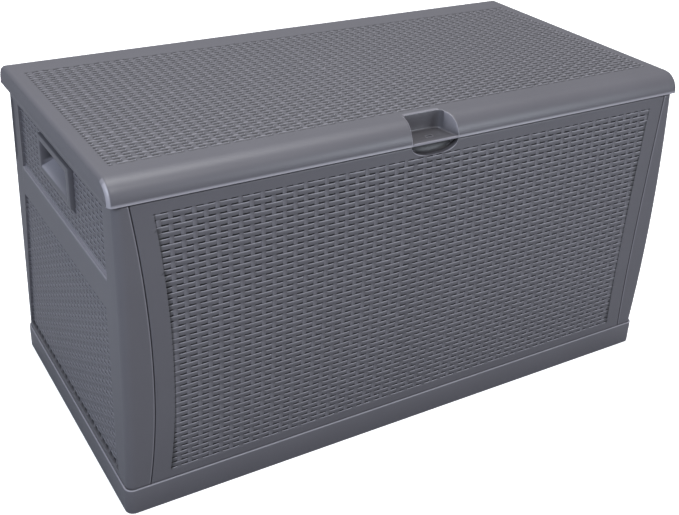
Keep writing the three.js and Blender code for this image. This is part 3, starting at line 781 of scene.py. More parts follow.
    def bowl(self, grow: float, sink: float) -> Array:
        """Points of a quarter ellipsoid behind the notch, larger than it by grow and sink deep."""
        a = np.linspace(math.pi, 2 * math.pi, 29)
        r = np.linspace(1.0, 0.02, 9)[:, None]
        back = self.form.front(np.array(self.form.env.wall_top)) + self.form.wall - 0.5 * MM
        x = (self.notch_half + grow) * np.sqrt(r) * np.cos(a)
        z = self.form.env.wall_top + (self.notch_depth + grow) * np.sqrt(r) * np.sin(a)
        return np.stack([x, back + sink * np.sqrt(1.0 - r) + 0.0 * a, z], axis=-1)

    def scoop(self) -> bpy.types.Object:
        """The bowl that closes the notch from behind, with painted shade that is darkest under the lid."""
        face = self.bowl(0.5 * MM, self.scoop_depth)
        back = self.bowl(3 * MM, self.scoop_depth + 2 * MM)
        # painted shade of the lid's shadow, darkest at the top
        shade = 1.0 - 0.5 * (self.form.env.wall_top - face[..., 2]) / (self.notch_depth + 1 * MM)
        rows, columns = face.shape[:2]
        return shell("notch_scoop", face, back, np.arange(0, rows, 4), np.arange(0, columns, 4), shade)

    def rim(self) -> bpy.types.Object:
        """The rain rim's front run, which stands up inside the lid on both sides of the latch pocket."""
        form, env = self.form, self.form.env
        y = float(form.front(np.array(env.wall_top))) + RIM_IN
        pieces = []
        for side in (-1, 1):
            x0, x1 = sorted((side * POCKET_CLEAR, side * (env.end - form.seam_in_top)))
            pieces.append(rim_bar((x0, y), (x1, y + RIM_THICK), env.wall_top))
        return join("front_rim", pieces)


def rim_bar(low: tuple[float, float], high: tuple[float, float], wall_top: float) -> bpy.types.Object:
    """A low upright bar with softened top edges: rings of one rounded outline that draw in at the top."""
    top = wall_top + RIM_UP
    rings = []
    profile = ((0.0, wall_top - RIM_ROOT), (0.0, top - 1.0 * MM), (0.3 * MM, top - 0.3 * MM), (1.0 * MM, top))
    for inset, z in profile:
        outline = rounded_outline((low[0] + inset, low[1] + inset), (high[0] - inset, high[1] - inset),
                                  0.5 * MM, 3)
        rings.append(np.column_stack([outline, np.full(len(outline), z)]))
    return tube("rim_bar", np.array(rings))


@dataclass
class WovenBackPanel:
    """The flat back: the same weave in a smooth border, and the fixed arms of the three hinges."""

    form: BodyForm
    weave: Weave
    hinge_x: tuple[float, ...]
    edge: float = 1.2 * MM
    seam_gap: float = 0.7 * MM
    border: float = 40 * MM
    field_top: float = 46 * MM
    field_foot: float = 18.7 * MM
    step: float = 0.8 * MM
    arm_out: float = 23.6 * MM
    arm_half: float = 9 * MM
    knuckle: float = 7 * MM
    gusset: float = 34 * MM

    def build(self, shop: Workshop) -> None:
        """Y is the rear face's straight lean, less the relief's depth."""
        form, env, e = self.form, self.form.env, self.edge
        half = env.end - form.seam_in_back - self.seam_gap
        edge_x = half - self.border
        top, foot = env.wall_top - self.field_top, env.wall_foot + self.field_foot
        fillet = EDGE_IN * e
        woven = self.weave.row_lines(foot + self.step, top - 0.3 * MM, top)
        z = np.concatenate([env.wall_foot + fillet, [foot, foot + self.step], woven,
                            np.array([0.45, 0.9]) * MM + top, run(top + 12 * MM, (env.wall_top - 5 * e, 1)),
                            (env.wall_top - fillet)[::-1]])
        field_x = self.weave.stake_lines(-edge_x + 2 * self.step, edge_x - 2 * self.step)
        flank = np.array([edge_x - self.step, edge_x])
        x = np.concatenate([-half + fillet, -flank[::-1], field_x, flank, (half - fillet)[::-1]])
        across, up = np.meshgrid(x, z)
        inside = (np.abs(across) < edge_x - TOUCH) & (up > foot + TOUCH) & (up < top + 0.6 * MM)
        depth = np.where(inside, self.weave.depth(across, up, top), 0.0)
        # the weave's painted shade in hollows and painted highlights on edges
        shade = np.where(inside, self.weave.shade(across, up, top), 0.0)
        drop = EDGE_DROP * e
        depth[:, :4] += drop
        depth[:, -4:] += drop[::-1]
        depth[:4] += drop[:, None]
        depth[-4:] += drop[::-1, None]
        outer = np.stack([across, form.rear(up) - depth, up], axis=-1)
        inner = np.stack([across, form.rear(up) - form.wall, up], axis=-1)
        rows, columns = (np.array([0, lines.size // 2, lines.size - 1]) for lines in (z, x))
        panel = shell("back_panel_woven", outer, inner, rows, columns, shade)
        rear = float(form.rear(np.array(env.wall_top))) - RIM_IN
        rim = rim_bar((-half, rear - RIM_THICK), (half, rear), env.wall_top)
        arms = [self.arm(x0 + side * self.arm_out) for x0 in self.hinge_x for side in (-1, 1)]
        shop.fit(join("back_panel_woven", [panel, rim, *arms]), "box", "resin", "back_panel")

    def arm(self, x: float) -> bpy.types.Object:
        """One hinge arm: a gusset that rises from the panel and rounds off concentric with the pin."""
        env = self.form.env
        rear = float(self.form.rear(np.array(env.wall_top)))
        turn = np.linspace(-0.32 * math.pi, math.pi, 15)
        nose = np.stack([env.hinge_y + self.knuckle * np.cos(turn),
                         env.hinge_z + self.knuckle * np.sin(turn)], axis=-1)
        foot = np.array([[rear - 1 * MM, env.wall_top - 4 * MM], [rear - 1 * MM, env.wall_top - self.gusset],
                         [rear + 3 * MM, env.wall_top - self.gusset]])
        return extruded(np.concatenate([nose, foot]), x - self.arm_half, x + self.arm_half, 0.8 * MM)


def extruded(outline: Array, x0: float, x1: float, bevel: float) -> bpy.types.Object:
    """Carries an outline of (y, z) along X, drawn in towards its middle at both ends as a bevel."""
    centre = outline.mean(axis=0)
    reach = np.linalg.norm(outline - centre, axis=1, keepdims=True)
    small = centre + (outline - centre) * np.clip(1.0 - bevel / reach, 0.0, 1.0)
    rings = []
    for x, ring in ((x0, small), (x0 + bevel, outline), (x1 - bevel, outline), (x1, small)):
        rings.append(np.column_stack([np.full(len(ring), x), ring]))
    return tube("extruded", np.array(rings))


STRIP_LINES = 6                 # columns of a side panel on the front or the rear
ARC_LINES = 9                   # and round a corner


@dataclass
class WovenSidePanel:
    """An end wall that wraps round both corners, with a woven band, a ledge, and a woven field under it."""

    form: BodyForm
    weave: Weave
    grip_mouth: tuple[float, float, float, float]
    edge: float = 1.2 * MM
    seam_gap: float = 0.7 * MM
    step: float = 0.8 * MM
    band_recess: float = 5 * MM
    field_recess: float = 4 * MM
    band_drop: float = 16 * MM
    ledge_drop: float = 146 * MM
    field_drop: float = 209 * MM
    field_rise: float = 11.7 * MM
    # scales the weave's painted light and shade on the ends
    side_contrast: float = 0.75
    # painted highlight beside the front seam
    seam_painted_highlight: float = -0.5
    # painted highlight along the ledge's edge
    ledge_painted_highlight: float = -0.8
    stile_band: float = 51 * MM
    stile_field_top: float = 64 * MM
    stile_field_foot: float = 48 * MM
    stile_rear: float = 69 * MM
    stile_rear_top: float = 61 * MM
    stile_rear_foot: float = 15.5 * MM
    shelf_step: float = 3 * MM

    def heights(self) -> tuple[float, float, float, float]:
        """The woven band's top, the ledge, and the lower field's top and foot."""
        top = self.form.env.wall_top
        return (top - self.band_drop, top - self.ledge_drop, top - self.field_drop,
                self.form.env.wall_foot + self.field_rise)

    def rows(self) -> Array:
        """Lines along Z: edges, both woven areas and the steps at their tops and feet."""
        env, e, s = self.form.env, self.edge, self.step
        band, ledge, field_top, foot = self.heights()
        lower = self.weave.row_lines(foot + 2 * s, field_top - 2 * s, field_top)
        upper = self.weave.row_lines(ledge + 2 * s, band - 2 * s, band)
        return np.concatenate([
            env.wall_foot + EDGE_IN * e, [foot - s, foot, foot + 0.4 * s], lower,
            [field_top - 0.4 * s, field_top, field_top + s], run(field_top + 20 * MM, (ledge - 14 * MM, 1)),
            [ledge - 7 * MM, ledge - s, ledge, ledge + 0.4 * s], upper, [band - 0.4 * s, band, band + s],
            env.wall_top - EDGE_IN[::-1] * e])

    def stiles(self, z: Array) -> tuple[Array, Array]:
        """Y of the woven areas' front and rear edges: upright beside the band, slanting beside the field."""
        env = self.form.env
        _, ledge, field_top, foot = self.heights()
        beside_band = z > ledge - 2 * self.step
        down = np.clip((field_top - z) / (field_top - foot), 0.0, 1.0)
        slant = self.stile_field_top + (self.stile_field_foot - self.stile_field_top) * down
        front_edge = env.front + np.where(beside_band, self.stile_band, slant)
        slant = self.stile_rear_top - (self.stile_rear_top - self.stile_rear_foot) * down
        return front_edge, self.wall_rear() - np.where(beside_band, self.stile_rear, slant)

    def wall_rear(self) -> float:
        """Where the rear stile's widths are measured from."""
        return self.form.env.base_rear - self.form.taper_back

    def places(self, z: Array, front_edge: Array, rear_edge: Array) -> Array:
        """Y of the end face's columns at each row, snapped to both edges and clear of the rear corner."""
        s, env = self.step, self.form.env
        reach = np.array([env.front + 40 * MM, env.base_rear - 19.6 * MM])
        lines = merge_lines(self.weave.stake_lines(*reach), reach, s)
        y = snap(snap(lines, rear_edge, s, 1), front_edge, s, -1)
        room = (self.form.rear(z) - self.form.corner - 0.6 * MM - rear_edge)[:, None]
        beyond = y - rear_edge[:, None]
        return np.where(beyond > 0, rear_edge[:, None] + beyond * room / beyond[:, -1:], y)

    def relief(self, y: Array, up: Array, front_edge: Array, rear_edge: Array) -> tuple[Array, Array]:
        """Depth below the end face, and shade: two sunk woven areas, the ledge, the rear stile's shelf; the
        shade is the weave's painted light and shade and a painted highlight along the ledge.
        """
        s = self.step
        band, ledge, field_top, foot = self.heights()
        between = (y > front_edge[:, None] + TOUCH) & (y < rear_edge[:, None] - TOUCH)
        in_band = between & (up > ledge + TOUCH) & (up < band - TOUCH)
        in_lower = between & (up > foot + TOUCH) & (up < field_top - TOUCH)
        woven = in_band | in_lower
        origin = np.where(up > ledge, band, field_top)
        depth = np.where(woven, self.weave.depth(y, up, origin), 0.0)
        depth = depth + self.band_recess * in_band + self.field_recess * in_lower
        # the weave's painted shade and painted highlights, softened on the ends
        shade = np.where(woven, self.side_contrast * self.weave.shade(y, up, origin), 0.0)
        # painted highlight along the ledge's outer edge
        on_ledge = (np.abs(up - ledge + 0.5 * s) < s) & (y > front_edge[:, None]) & (y < rear_edge[:, None])
        shade[on_ledge] = self.ledge_painted_highlight
        start = self.wall_rear() - self.stile_rear + 7 * MM
        shelf = ease(start, start + 2 * MM, y) * ease(ledge - 14 * MM, ledge + 10 * MM, up)
        shelf = shelf * (1.0 - ease(band - 2 * s, band, up)) * ~between
        return depth + self.shelf_step * shelf, shade

    def build(self, shop: Workshop, side: Side) -> None:
        """Wraps end face, corners and strips into one wall, cuts the grip's mouth and joins the rain rim."""
        form, env = self.form, self.form.env
        z = self.rows()
        front, rear, end = form.front(z), form.rear(z), form.end(z)
        edges = self.stiles(z)
        y = self.places(z, *edges)
        up = np.broadcast_to(z[:, None], y.shape)
        depth, marks = self.relief(y, up, *edges)
        middle = np.stack([end[:, None] - depth, y, up], axis=-1)
        outer = np.concatenate([self.strip(z, front, end, -1), self.arc(z, front, end, -1), middle,
                                self.arc(z, rear, end, 1), self.strip(z, rear, end, 1)], axis=1)
        wings = STRIP_LINES + ARC_LINES
        shade = np.pad(marks, ((0, 0), (wings, wings)))
        # painted highlight on the rounded edge beside the front seam
        shade[:, 2] = self.seam_painted_highlight
        drop = np.zeros(z.size)
        drop[:4], drop[-4:] = EDGE_DROP * self.edge, EDGE_DROP[::-1] * self.edge
        outer = self.inward(outer, drop[:, None])
        inner = self.inward(outer, np.full((z.size, 1), form.wall))
        last = outer.shape[1] - 1
        bends = STRIP_LINES + np.arange(0, ARC_LINES, 2)
        columns = np.unique(np.concatenate([[0, 3], bends, last - bends, [last - 3, last]]))
        rows = np.unique(np.concatenate([np.arange(0, z.size, 30), [z.size - 1]]))
        flip = np.array([side.value, 1.0, 1.0])
        name = f"{side.name.lower()}_side_panel"
        panel = shell(f"{name}_woven", outer * flip, inner * flip, rows, columns, shade)
        y0, y1, z0, z1 = self.grip_mouth
        near, far = sorted((side.value * (env.end - 60 * MM), side.value * (env.end + 10 * MM)))
        carve(panel, block((near, y0, z0), (far, y1, z1)))
        x0, x1 = sorted(side.value * (end[-1] - inset) for inset in (RIM_IN, RIM_IN + RIM_THICK))
        rim = rim_bar((x0, front[-1] + RIM_IN), (x1, rear[-1] - RIM_IN), env.wall_top)
        shop.fit(join(f"{name}_woven", [panel, rim]), "box", "resin", name)

    def strip(self, z: Array, face: Array, end: Array, way: int) -> Array:
        """The part on the front (way -1) or rear (way 1), from the seam to where the arc begins."""
        form, e = self.form, self.edge
        seam = form.seam(z) if way < 0 else np.full(z.size, form.env.end - form.seam_in_back)
        seam = seam + self.seam_gap
        start = seam[:, None] + EDGE_IN * e
        last = (end - form.corner)[:, None]
        x = np.concatenate([start, start[:, -1:] + (last - start[:, -1:]) * np.array([0.35, 0.7])], axis=1)
        sink = np.pad(EDGE_DROP, (0, STRIP_LINES - EDGE_DROP.size)) * e
        y = face[:, None] - way * sink
        strip = np.stack([x, np.broadcast_to(y, x.shape), np.broadcast_to(z[:, None], x.shape)], axis=-1)
        return strip if way < 0 else strip[:, ::-1]

    def arc(self, z: Array, face: Array, end: Array, way: int) -> Array:
        """The rounded corner: a quarter circle from the front or rear face to the end face."""
        r = self.form.corner
        a = np.linspace(0.0, math.pi / 2, ARC_LINES)
        x = (end - r)[:, None] + r * np.sin(a)
        y = (face - way * r)[:, None] + way * r * np.cos(a)
        arc = np.stack([x, y, np.broadcast_to(z[:, None], x.shape)], axis=-1)
        return arc if way < 0 else arc[:, ::-1]

    def inward(self, points: Array, by: Array) -> Array:
        """Moves a wall surface in by a distance, square to its three faces and round the two corners."""
        form = self.form
        x, y, z = points[..., 0], points[..., 1], points[..., 2]
        r = form.corner
        cx = form.end(z) - r
        low, high = form.front(z) + r, form.rear(z) - r
        dx = np.clip((x - cx) / r, 0.0, 1.0)
        dy = np.clip((y - high) / r, 0.0, 1.0) - np.clip((low - y) / r, 0.0, 1.0)
        dx = np.where(x < cx, 0.0, dx)
        size = np.maximum(np.hypot(dx, dy), 1e-9)
        plain = (y > low) & (y < high)
        nx, ny = np.where(plain, 1.0, dx / size), np.where(plain, 0.0, dy / size)
        return np.stack([x - by * nx, y - by * ny, z], axis=-1)


@dataclass
class HandGrip:
    """A moulded cup for the fingers, with a proud frame whose foot runs out into the weave."""

    face: float
    mouth: tuple[float, float, float, float]
    proud: float = 8.5 * MM
    cup: float = 52 * MM
    flange_front: float = 18 * MM
    flange_rear: float = 10 * MM
    flange_top: float = 13 * MM
    flange_foot: float = 23 * MM
    slope: float = 12 * MM
    lean: float = 0.4
    wall: float = 3 * MM
    bar: float = 5.1 * MM
    # painted highlight along the floor's far edge
    bar_shade: float = -1.0
    # painted light that brightens the sloping floor
    ramp_shade: float = -0.2
    # painted shade on the far wall
    far_shade: float = 0.8

    def section(self, low: float, high: float, before: float, after: float, slope: float,
                grow: float) -> Array:
        """A cut through frame and cup as rows of (place, frame's drop, cup's depth), from rim to rim.

        Args:
            low: the mouth's near edge.
            high: its far edge.
            before: the flange's width before the mouth.
            after: and after it.
            slope: how wide the first flange's outer edge slopes; 0 rounds it off short. With a slope, the
                cup's first wall is a ramp as well: the grip's floor, which rises inwards.
            grow: how far the cup's walls lie outside the mouth, for the cup's back.

        Returns:
            The rows, as an array with three columns.
        """
        p, c, start, lean = self.proud, self.cup, low - before, self.lean * self.cup
        lead = [(start, p, 0.0), (start + 0.5 * slope + 0.2 * MM, 0.55 * p if slope else 2.2 * MM, 0.0),
                (start + 0.8 * slope + 0.9 * MM, 0.6 * MM, 0.0), (start + slope + 2.4 * MM, 0.0, 0.0)]
        tail = [(high + after - 2.4 * MM, 0.0, 0.0), (high + after - 0.9 * MM, 0.6 * MM, 0.0),
                (high + after - 0.2 * MM, 2.2 * MM, 0.0), (high + after, p, 0.0)]
        edge = [(2.6 * MM, 0.0), (0.9 * MM, 0.55 * MM), (0.0, 2.4 * MM)]
        well = [(0.0, 0.5 * c), (0.0, c - 5 * MM), (-1.4 * MM, c - 1.5 * MM), (-5 * MM, c)]
        ramp = [(2.6 * MM, 0.0), (-0.4 * MM, 1.6 * MM), (-3.4 * MM, 7 * MM), (-0.22 * c, 0.5 * c),
                (-lean, c - 5 * MM), (-lean - 1.6 * MM, c - 1.5 * MM), (-lean - 5 * MM, c)]
        near = [(low - out - grow, 0.0, d) for out, d in (ramp if slope else edge + well)]
        far = [(high + out + grow, 0.0, d) for out, d in (edge + well)[::-1]]
        return np.array(lead + near + far + tail)

    def surface(self, grow: float, back: float) -> tuple[Array, Array]:
        """Depth is the larger of the two sections' drops plus the smaller of their cup depths.

        Args:
            grow: how far the cup's walls lie outside the mouth.
            back: how far this surface lies behind the visible one, 0 for the visible one itself.

        Returns:
            Points as rows by columns by 3, and the painted light and shade at each.
        """
        y0, y1, z0, z1 = self.mouth
        across = self.section(y0, y1, self.flange_front, self.flange_rear, 0.0, grow)
        upright = self.section(z0, z1, self.flange_foot, self.flange_top, self.slope, grow)
        drop = np.maximum(across[None, :, 1], upright[:, None, 1])
        cup = np.minimum(across[None, :, 2], upright[:, None, 2])
        depth = drop + cup if back == 0.0 else np.maximum(self.proud + back, cup + back)
        x = self.face - depth
        y = np.broadcast_to(across[None, :, 0], depth.shape)
        z = np.broadcast_to(upright[:, None, 0], depth.shape)
        on_ramp = (upright[:, None, 2] <= across[None, :, 2]) & (cup > 0) & (z < (z0 + z1) / 2)
        on_far_wall = (across[None, :, 2] < upright[:, None, 2]) & (cup > 3 * MM) & (y > (y0 + y1) / 2)
        # painted highlight bar, painted light on the ramp, painted shade on the far wall
        shade = np.select([on_ramp & (y > y1 - self.bar), on_ramp, on_far_wall],
                          [self.bar_shade, self.ramp_shade, self.far_shade], 0.0)
        return np.stack([x, y, z], axis=-1), shade

    def build(self, shop: Workshop, side: Side) -> None:
        """Joins the cup's face and back into one closed wall, mirrored for the left end."""
        outer, shade = self.surface(0.0, 0.0)
        inner, _ = self.surface(self.wall, self.wall)
        flip = np.array([side.value, 1.0, 1.0])
        every = np.arange(outer.shape[0]), np.arange(outer.shape[1])
        name = f"{side.name.lower()}_hand_grip"
        grip = shell(f"{name}_cup", outer * flip, inner * flip, *every, shade)
        shop.fit(grip, "box", "resin", name)


END_LINES = 13                  # columns of the lid round each end
FRONT_LINES = 22                # and rows from its front lip to the border of the woven top


@dataclass
class RolledLid:
    """The lid: rolled front and rear edges, a woven top, a latch pocket, and notches for the hinge arms."""

    env: Envelope
    weave: Weave
    hinge_x: tuple[float, ...]
    roll_front: float = 37 * MM
    roll_rear: float = 32 * MM
    plan_corner: float = 9 * MM
    end_edge: float = 8 * MM
    bead: float = 0.8 * MM
    bead_height: float = 2.2 * MM
    ridge: float = 0.8 * MM
    ridge_height: float = 8 * MM
    wall: float = 4 * MM
    field_half: float = 576 * MM
    margin_front: float = 70 * MM
    margin_rear: float = 82 * MM
    step: float = 0.8 * MM
    pocket_half: float = 50 * MM
    pocket_half_back: float = 42 * MM
    pocket_depth: float = 53 * MM
    pocket_corner: float = 12 * MM
    floor_up: float = 3.8 * MM
    # painted shade on the latch pocket's floor
    floor_shade: float = 0.45
    fan_out: float = 75 * MM
    notch_half: float = 36.6 * MM
    notch_rise: float = 10 * MM
    ride_step: float = 0.4 * MM
    knuckle_half: float = 14 * MM
    knuckle_radius: float = 7 * MM

    def columns(self) -> tuple[Array, Array, Array]:
        """Lines across X.

        Returns:
            Each line's place in the woven field; its step up the pocket's side wall, from 0 for lines in the
            pocket to 5 for those outside; and its step round the lid's end, 0 for lines short of the end.
        """
        half = self.field_half
        back = self.pocket_half_back
        inset = (back - 3 * MM) / back
        bend = (back - self.pocket_corner + self.pocket_corner * np.sin(np.radians([0, 12, 24, 36]))) / inset
        walls = back + self.ride_step * np.arange(6)
        fan = np.array([0.0, *bend, *walls, self.fan_out])
        middle = self.notch_half + np.array([0.0, 0.25 * MM])
        notches = np.concatenate([x + np.array([-1.0, 1.0])[:, None] * middle
                                  for x in self.hinge_x if abs(x) > self.fan_out]).ravel()
        edge = np.array([half - self.step, half, half + 4 * MM])
        special = np.concatenate([fan, -fan[1:], notches, middle, -middle, edge, -edge])
        special = np.unique(np.round(special, 7))
        common = self.weave.stake_lines(-half + 2 * self.step, half - 2 * self.step)
        xi = merge_lines(common, special, 0.75 * MM)
        ride = np.clip(np.round((np.abs(xi) - back) / self.ride_step), 0, 5)
        steps = np.arange(1, END_LINES + 1)
        turn = np.concatenate([steps[::-1], np.zeros(xi.size), steps])
        return np.pad(xi, END_LINES, mode="edge"), np.pad(ride, END_LINES, mode="edge"), turn

    def ends(self, xi: Array, turn: Array, inset: float) -> tuple[Array, Array, Array, Array]:
        """Sections near the ends: |x|, how far each draws in in Y and in Z, and its squash towards the lip.

        Step 1 is on the flat border, steps 2 to 9 go round the edge on a quarter ellipse, and steps 10 to 13
        go down the end face, over the ridge, to the lip.
        """
        reach = self.env.end - self.ridge - inset
        a = np.clip((turn - 1) / 8.0, 0.0, 1.0) * math.pi / 2
        x = np.where(turn == 0, np.abs(xi), reach - self.plan_corner * (1.0 - np.sin(a)))
        x = np.where(turn >= 11, reach + self.ridge, x)
        draw = np.where(turn == 0, 0.0, 1.0 - np.cos(a))
        tall = self.env.top - self.end_edge - self.env.lip
        share = self.ridge_height / tall
        steps = [turn <= 9, turn == 10, turn == 11, turn == 12]
        squash = np.select(steps, [1.0, share + 0.03, share - 0.01, 0.03], 0.0)
        x = np.where(turn == END_LINES, reach + 0.4 * self.ridge, x)
        return x, draw * self.plan_corner, draw * self.end_edge, squash

    def pocket_back(self, x: Array) -> Array:
        """Y of the pocket's back wall: straight, with a quarter circle at each corner."""
        r = self.pocket_corner
        past = np.clip(np.abs(x) - (self.pocket_half_back - r), 0.0, r)
        return self.env.front + self.pocket_depth - (r - np.sqrt(np.maximum(r * r - past * past, 0.0)))

    def pocket_width(self, y: Array) -> Array:
        """Half width of the pocket at depth y: it narrows in a straight line up to the corners."""
        run_in = self.pocket_depth - self.pocket_corner
        share = np.clip((y - self.env.front) / run_in, 0.0, 1.0)
        return self.pocket_half - (self.pocket_half - self.pocket_half_back) * share

    def roll_rows(self, y_end: Array, dy: Array, dz: Array, inset: float) -> tuple[Array, Array]:
        """The rows up the front, for every column: lip, the roll's quarter ellipse, the top up to y_end."""
        env, r = self.env, self.roll_front
        front, top = env.front + dy + inset, env.top - dz - inset
        y, z = [], []
        for out, up in ((0.8, 0.0), (0.25, 0.25), (0.0, 0.8)):
            y.append(front + (out * MM if inset == 0 else 0.0))
            z.append(env.lip + up * MM + 0.0 * dz)
        bead = self.bead if inset == 0 else 0.0
        y.append(front + bead)
        z.append(env.lip + self.bead_height + 0.0 * dz)
        for a in np.linspace(0.0, math.pi / 2, 15)[1:]:
            y.append(env.front + r - (r - bead - dy - inset) * math.cos(a))
            z.append(env.top - r + (r - dz - inset) * math.sin(a))
        for share in (0.25, 0.5, 0.75, 1.0):
            y.append(env.front + r + (y_end - env.front - r) * share)
            z.append(top)
        return np.array(y), np.array(z)

    def pocket_rows(self, back: Array, inset: float) -> tuple[Array, Array]:
        """As many rows through the pocket, for every column: lip, floor, hollow corner, back wall and rim."""
        env = self.env
        front, top = env.front + inset, env.top - inset
        flat = 0.0 * back
        if inset == 0:
            lip = [(0.8, 0.0), (0.25, 0.25), (0.0, 0.8), (0.0, 2.9),
                   (0.3, 4.1), (1.1, 4.7), (2.1, 4.6), (3.2, 3.8)]
            floor, r = env.lip + self.floor_up, 3.5 * MM
        else:
            lip = [(0.0, 0.0), (0.0, 0.1), (0.1, 0.2), (0.2, 0.3),
                   (0.4, 0.4), (0.6, 0.5), (0.8, 0.55), (1.0, 0.6)]
            floor, r = env.lip + 0.6 * MM, 1.0 * MM
        y = [front + out * MM + flat for out, up in lip]
        z = [env.lip + up * MM + flat for out, up in lip]
        start = y[-1]
        wall = back + (0.0 if inset == 0 else 3 * MM)
        for share in (0.25, 0.5, 0.75, 1.0):
            y.append(start + (wall - r - start) * share)
            z.append(floor + flat)
        for a in np.linspace(0.0, math.pi / 2, 5)[1:]:
            y.append(wall - r + r * math.sin(a))
            z.append(floor + r * (1.0 - math.cos(a)) + flat)
        for share in (0.35, 0.7, 1.0):
            y.append(wall + flat)
            z.append(floor + r + (top - 2.2 * MM - floor - r) * share + flat)
        for out, down in ((0.35, 0.9), (1.0, 0.25), (2.2, 0.0)):
            y.append(wall + out * MM)
            z.append(top - down * MM + flat)
        return np.array(y), np.array(z)

    def front_rows(self, xi: Array, ride: Array, turn: Array, inset: float) -> tuple[Array, Array, Array]:
        """X, Y and Z of the rows in front of the woven top.

        Columns in the pocket take its rows and columns outside take the roll's. The six columns of each side
        wall lie on straight lines between the two, with a rounded rim above and a hollow corner below.
        """
        back_half = self.pocket_half_back
        width, dy, dz, _ = self.ends(xi, turn, inset)
        inside = np.abs(xi) <= back_half + TOUCH
        grow = 0.0 if inset == 0 else 3 * MM
        step = ride.astype(int)
        offset = np.array([-3.0, -0.9, 0.0, 0.0, 0.6, 2.0])[step] * MM
        scale = (back_half - 3 * MM) / back_half
        x_back = np.where(inside, np.abs(xi) * scale, back_half + offset)
        back = self.pocket_back(np.minimum(x_back, back_half))
        y_end = np.where(ride == 0, back, self.pocket_back(np.array(back_half))) + grow + 2.2 * MM
        roll_y, roll_z = self.roll_rows(y_end, dy, dz, inset)
        pocket_y, pocket_z = self.pocket_rows(back, inset)
        gap = np.hypot(pocket_y - roll_y, pocket_z - roll_z) + 1e-9
        from_roll = np.minimum(np.array([0.0, 0.0, 0.0, 2.0, 0.6, 0.0])[step] * MM, 0.45 * gap) / gap
        from_floor = np.minimum(np.array([0.0, 0.9, 3.0, 0.0, 0.0, 0.0])[step] * MM, 0.45 * gap) / gap
        share = np.where(ride <= 2, 1.0 - from_floor, from_roll)
        share = np.where(np.abs(xi) > self.fan_out - 1e-6, 0.0, share)
        y = roll_y + (pocket_y - roll_y) * share
        z = roll_z + (pocket_z - roll_z) * share
        side = self.pocket_width(y) + grow
        rim = back_half + 2 * MM
        beyond = np.clip((np.abs(xi) - rim) / (self.fan_out - rim), 0, 1)
        x = np.where(inside, np.abs(xi) * (side - 3 * MM) / back_half, side + offset)
        x = np.where(ride == 5, side + 2 * MM + beyond * (self.fan_out - side - 2 * MM), x)
        return np.where(np.abs(xi) >= self.fan_out - 1e-6, width, x), y, z

    def rear_rows(self, xi: Array, turn: Array, inset: float) -> tuple[Array, Array]:
        """Y and Z down the rear roll, which stops short over the hinge arms, and round its lip."""
        env, r = self.env, self.roll_rear
        _, dy, dz, _ = self.ends(xi, turn, inset)
        near = np.abs(xi[:, None] - np.array(self.hinge_x)).min(axis=1)
        at_hinge = (near <= self.notch_half + TOUCH) & (turn == 0)
        foot = np.where(at_hinge, env.hinge_z + self.notch_rise, env.lip)
        centre = env.top - r
        last = np.where(at_hinge, np.arcsin(np.clip((foot + 1 * MM - centre) / r, 0, 1)), 0.0)
        angles = math.pi / 2 + (last - math.pi / 2) * np.linspace(0.0, 1.0, 13)[1:, None]
        y = env.rear - r + (r - dy - inset) * np.cos(angles)
        z = centre + (r - dz - inset) * np.sin(angles)
        roll_end = y[-1]
        for out, up in ((0.0, 0.8), (0.25, 0.25), (0.8, 0.0)):
            y = np.vstack([y, roll_end - (out * MM if inset == 0 else 0.0)])
            z = np.vstack([z, foot + up * MM])
        return y, z

    def marks(self, shade: Array, xi: Array, ride: Array, turn: Array) -> None:
        """Paints light and shade: painted shade on the pocket floor and walls, painted highlights on the lip,
        their rims, and the ends' rounded edges.
        """
        in_pocket = np.abs(xi) < self.pocket_half_back
        # painted shade on the pocket floor, lighter on its hollow corner and back wall
        shade[8:13, in_pocket] = self.floor_shade
        shade[13:19, in_pocket] = 0.4 * self.floor_shade
        # painted highlights on the lip's bead, the pocket's lip, rims and walls, and the rounded front
        # corners
        shade[2:4] = -0.8
        shade[4:7, in_pocket] = -0.6
        shade[19:22, in_pocket] = -0.5
        shade[3:22, (ride == 3) | (ride == 4)] = -0.7
        round_end = (turn > 3) & (turn < 9)
        shade[3:14, round_end] = -1.0
        shade[14:17, round_end] = -0.5

    def surface(self, inset: float) -> tuple[Array, Array]:
        """The lid's skin, drawn in by inset: rows from the front lip over the top and down the rear roll.

        Returns:
            Points as rows by columns by 3, and the painted light and shade at each.
        """
        env = self.env
        xi, ride, turn = self.columns()
        width, _, _, squash = self.ends(xi, turn, inset)
        x, y, z = self.front_rows(xi, ride, turn, inset)
        # over the border between the pocket and the woven field
        start, stop = env.front + self.margin_front, env.rear - self.margin_rear
        edge = FRONT_LINES - 1
        for part in (0.4, 0.8):
            y = np.vstack([y, y[edge] + (start - y[edge]) * part])
            z = np.vstack([z, z[edge]])
            x = np.vstack([x, x[edge] + (width - x[edge]) * part])
        woven = self.weave.row_lines(start + self.step, stop - self.step, start)
        lines = np.concatenate([[start, start + 0.5 * self.step], woven, [stop - 0.5 * self.step, stop],
                                run(stop + 10 * MM, (env.rear - self.roll_rear, 2))])
        rear_y, rear_z = self.rear_rows(xi, turn, inset)
        y = np.vstack([y, np.broadcast_to(lines[:, None], (lines.size, xi.size)), rear_y])
        z = np.vstack([z, np.broadcast_to(z[edge], (lines.size, xi.size)), rear_z])
        x = np.vstack([x, np.broadcast_to(width, (lines.size + len(rear_y), xi.size))]) * np.sign(xi)
        shade = np.zeros_like(x)
        if inset == 0:
            woven_top = (np.abs(x) < self.field_half - 1e-6) & (y > start + 1e-6) & (y < stop - 1e-6)
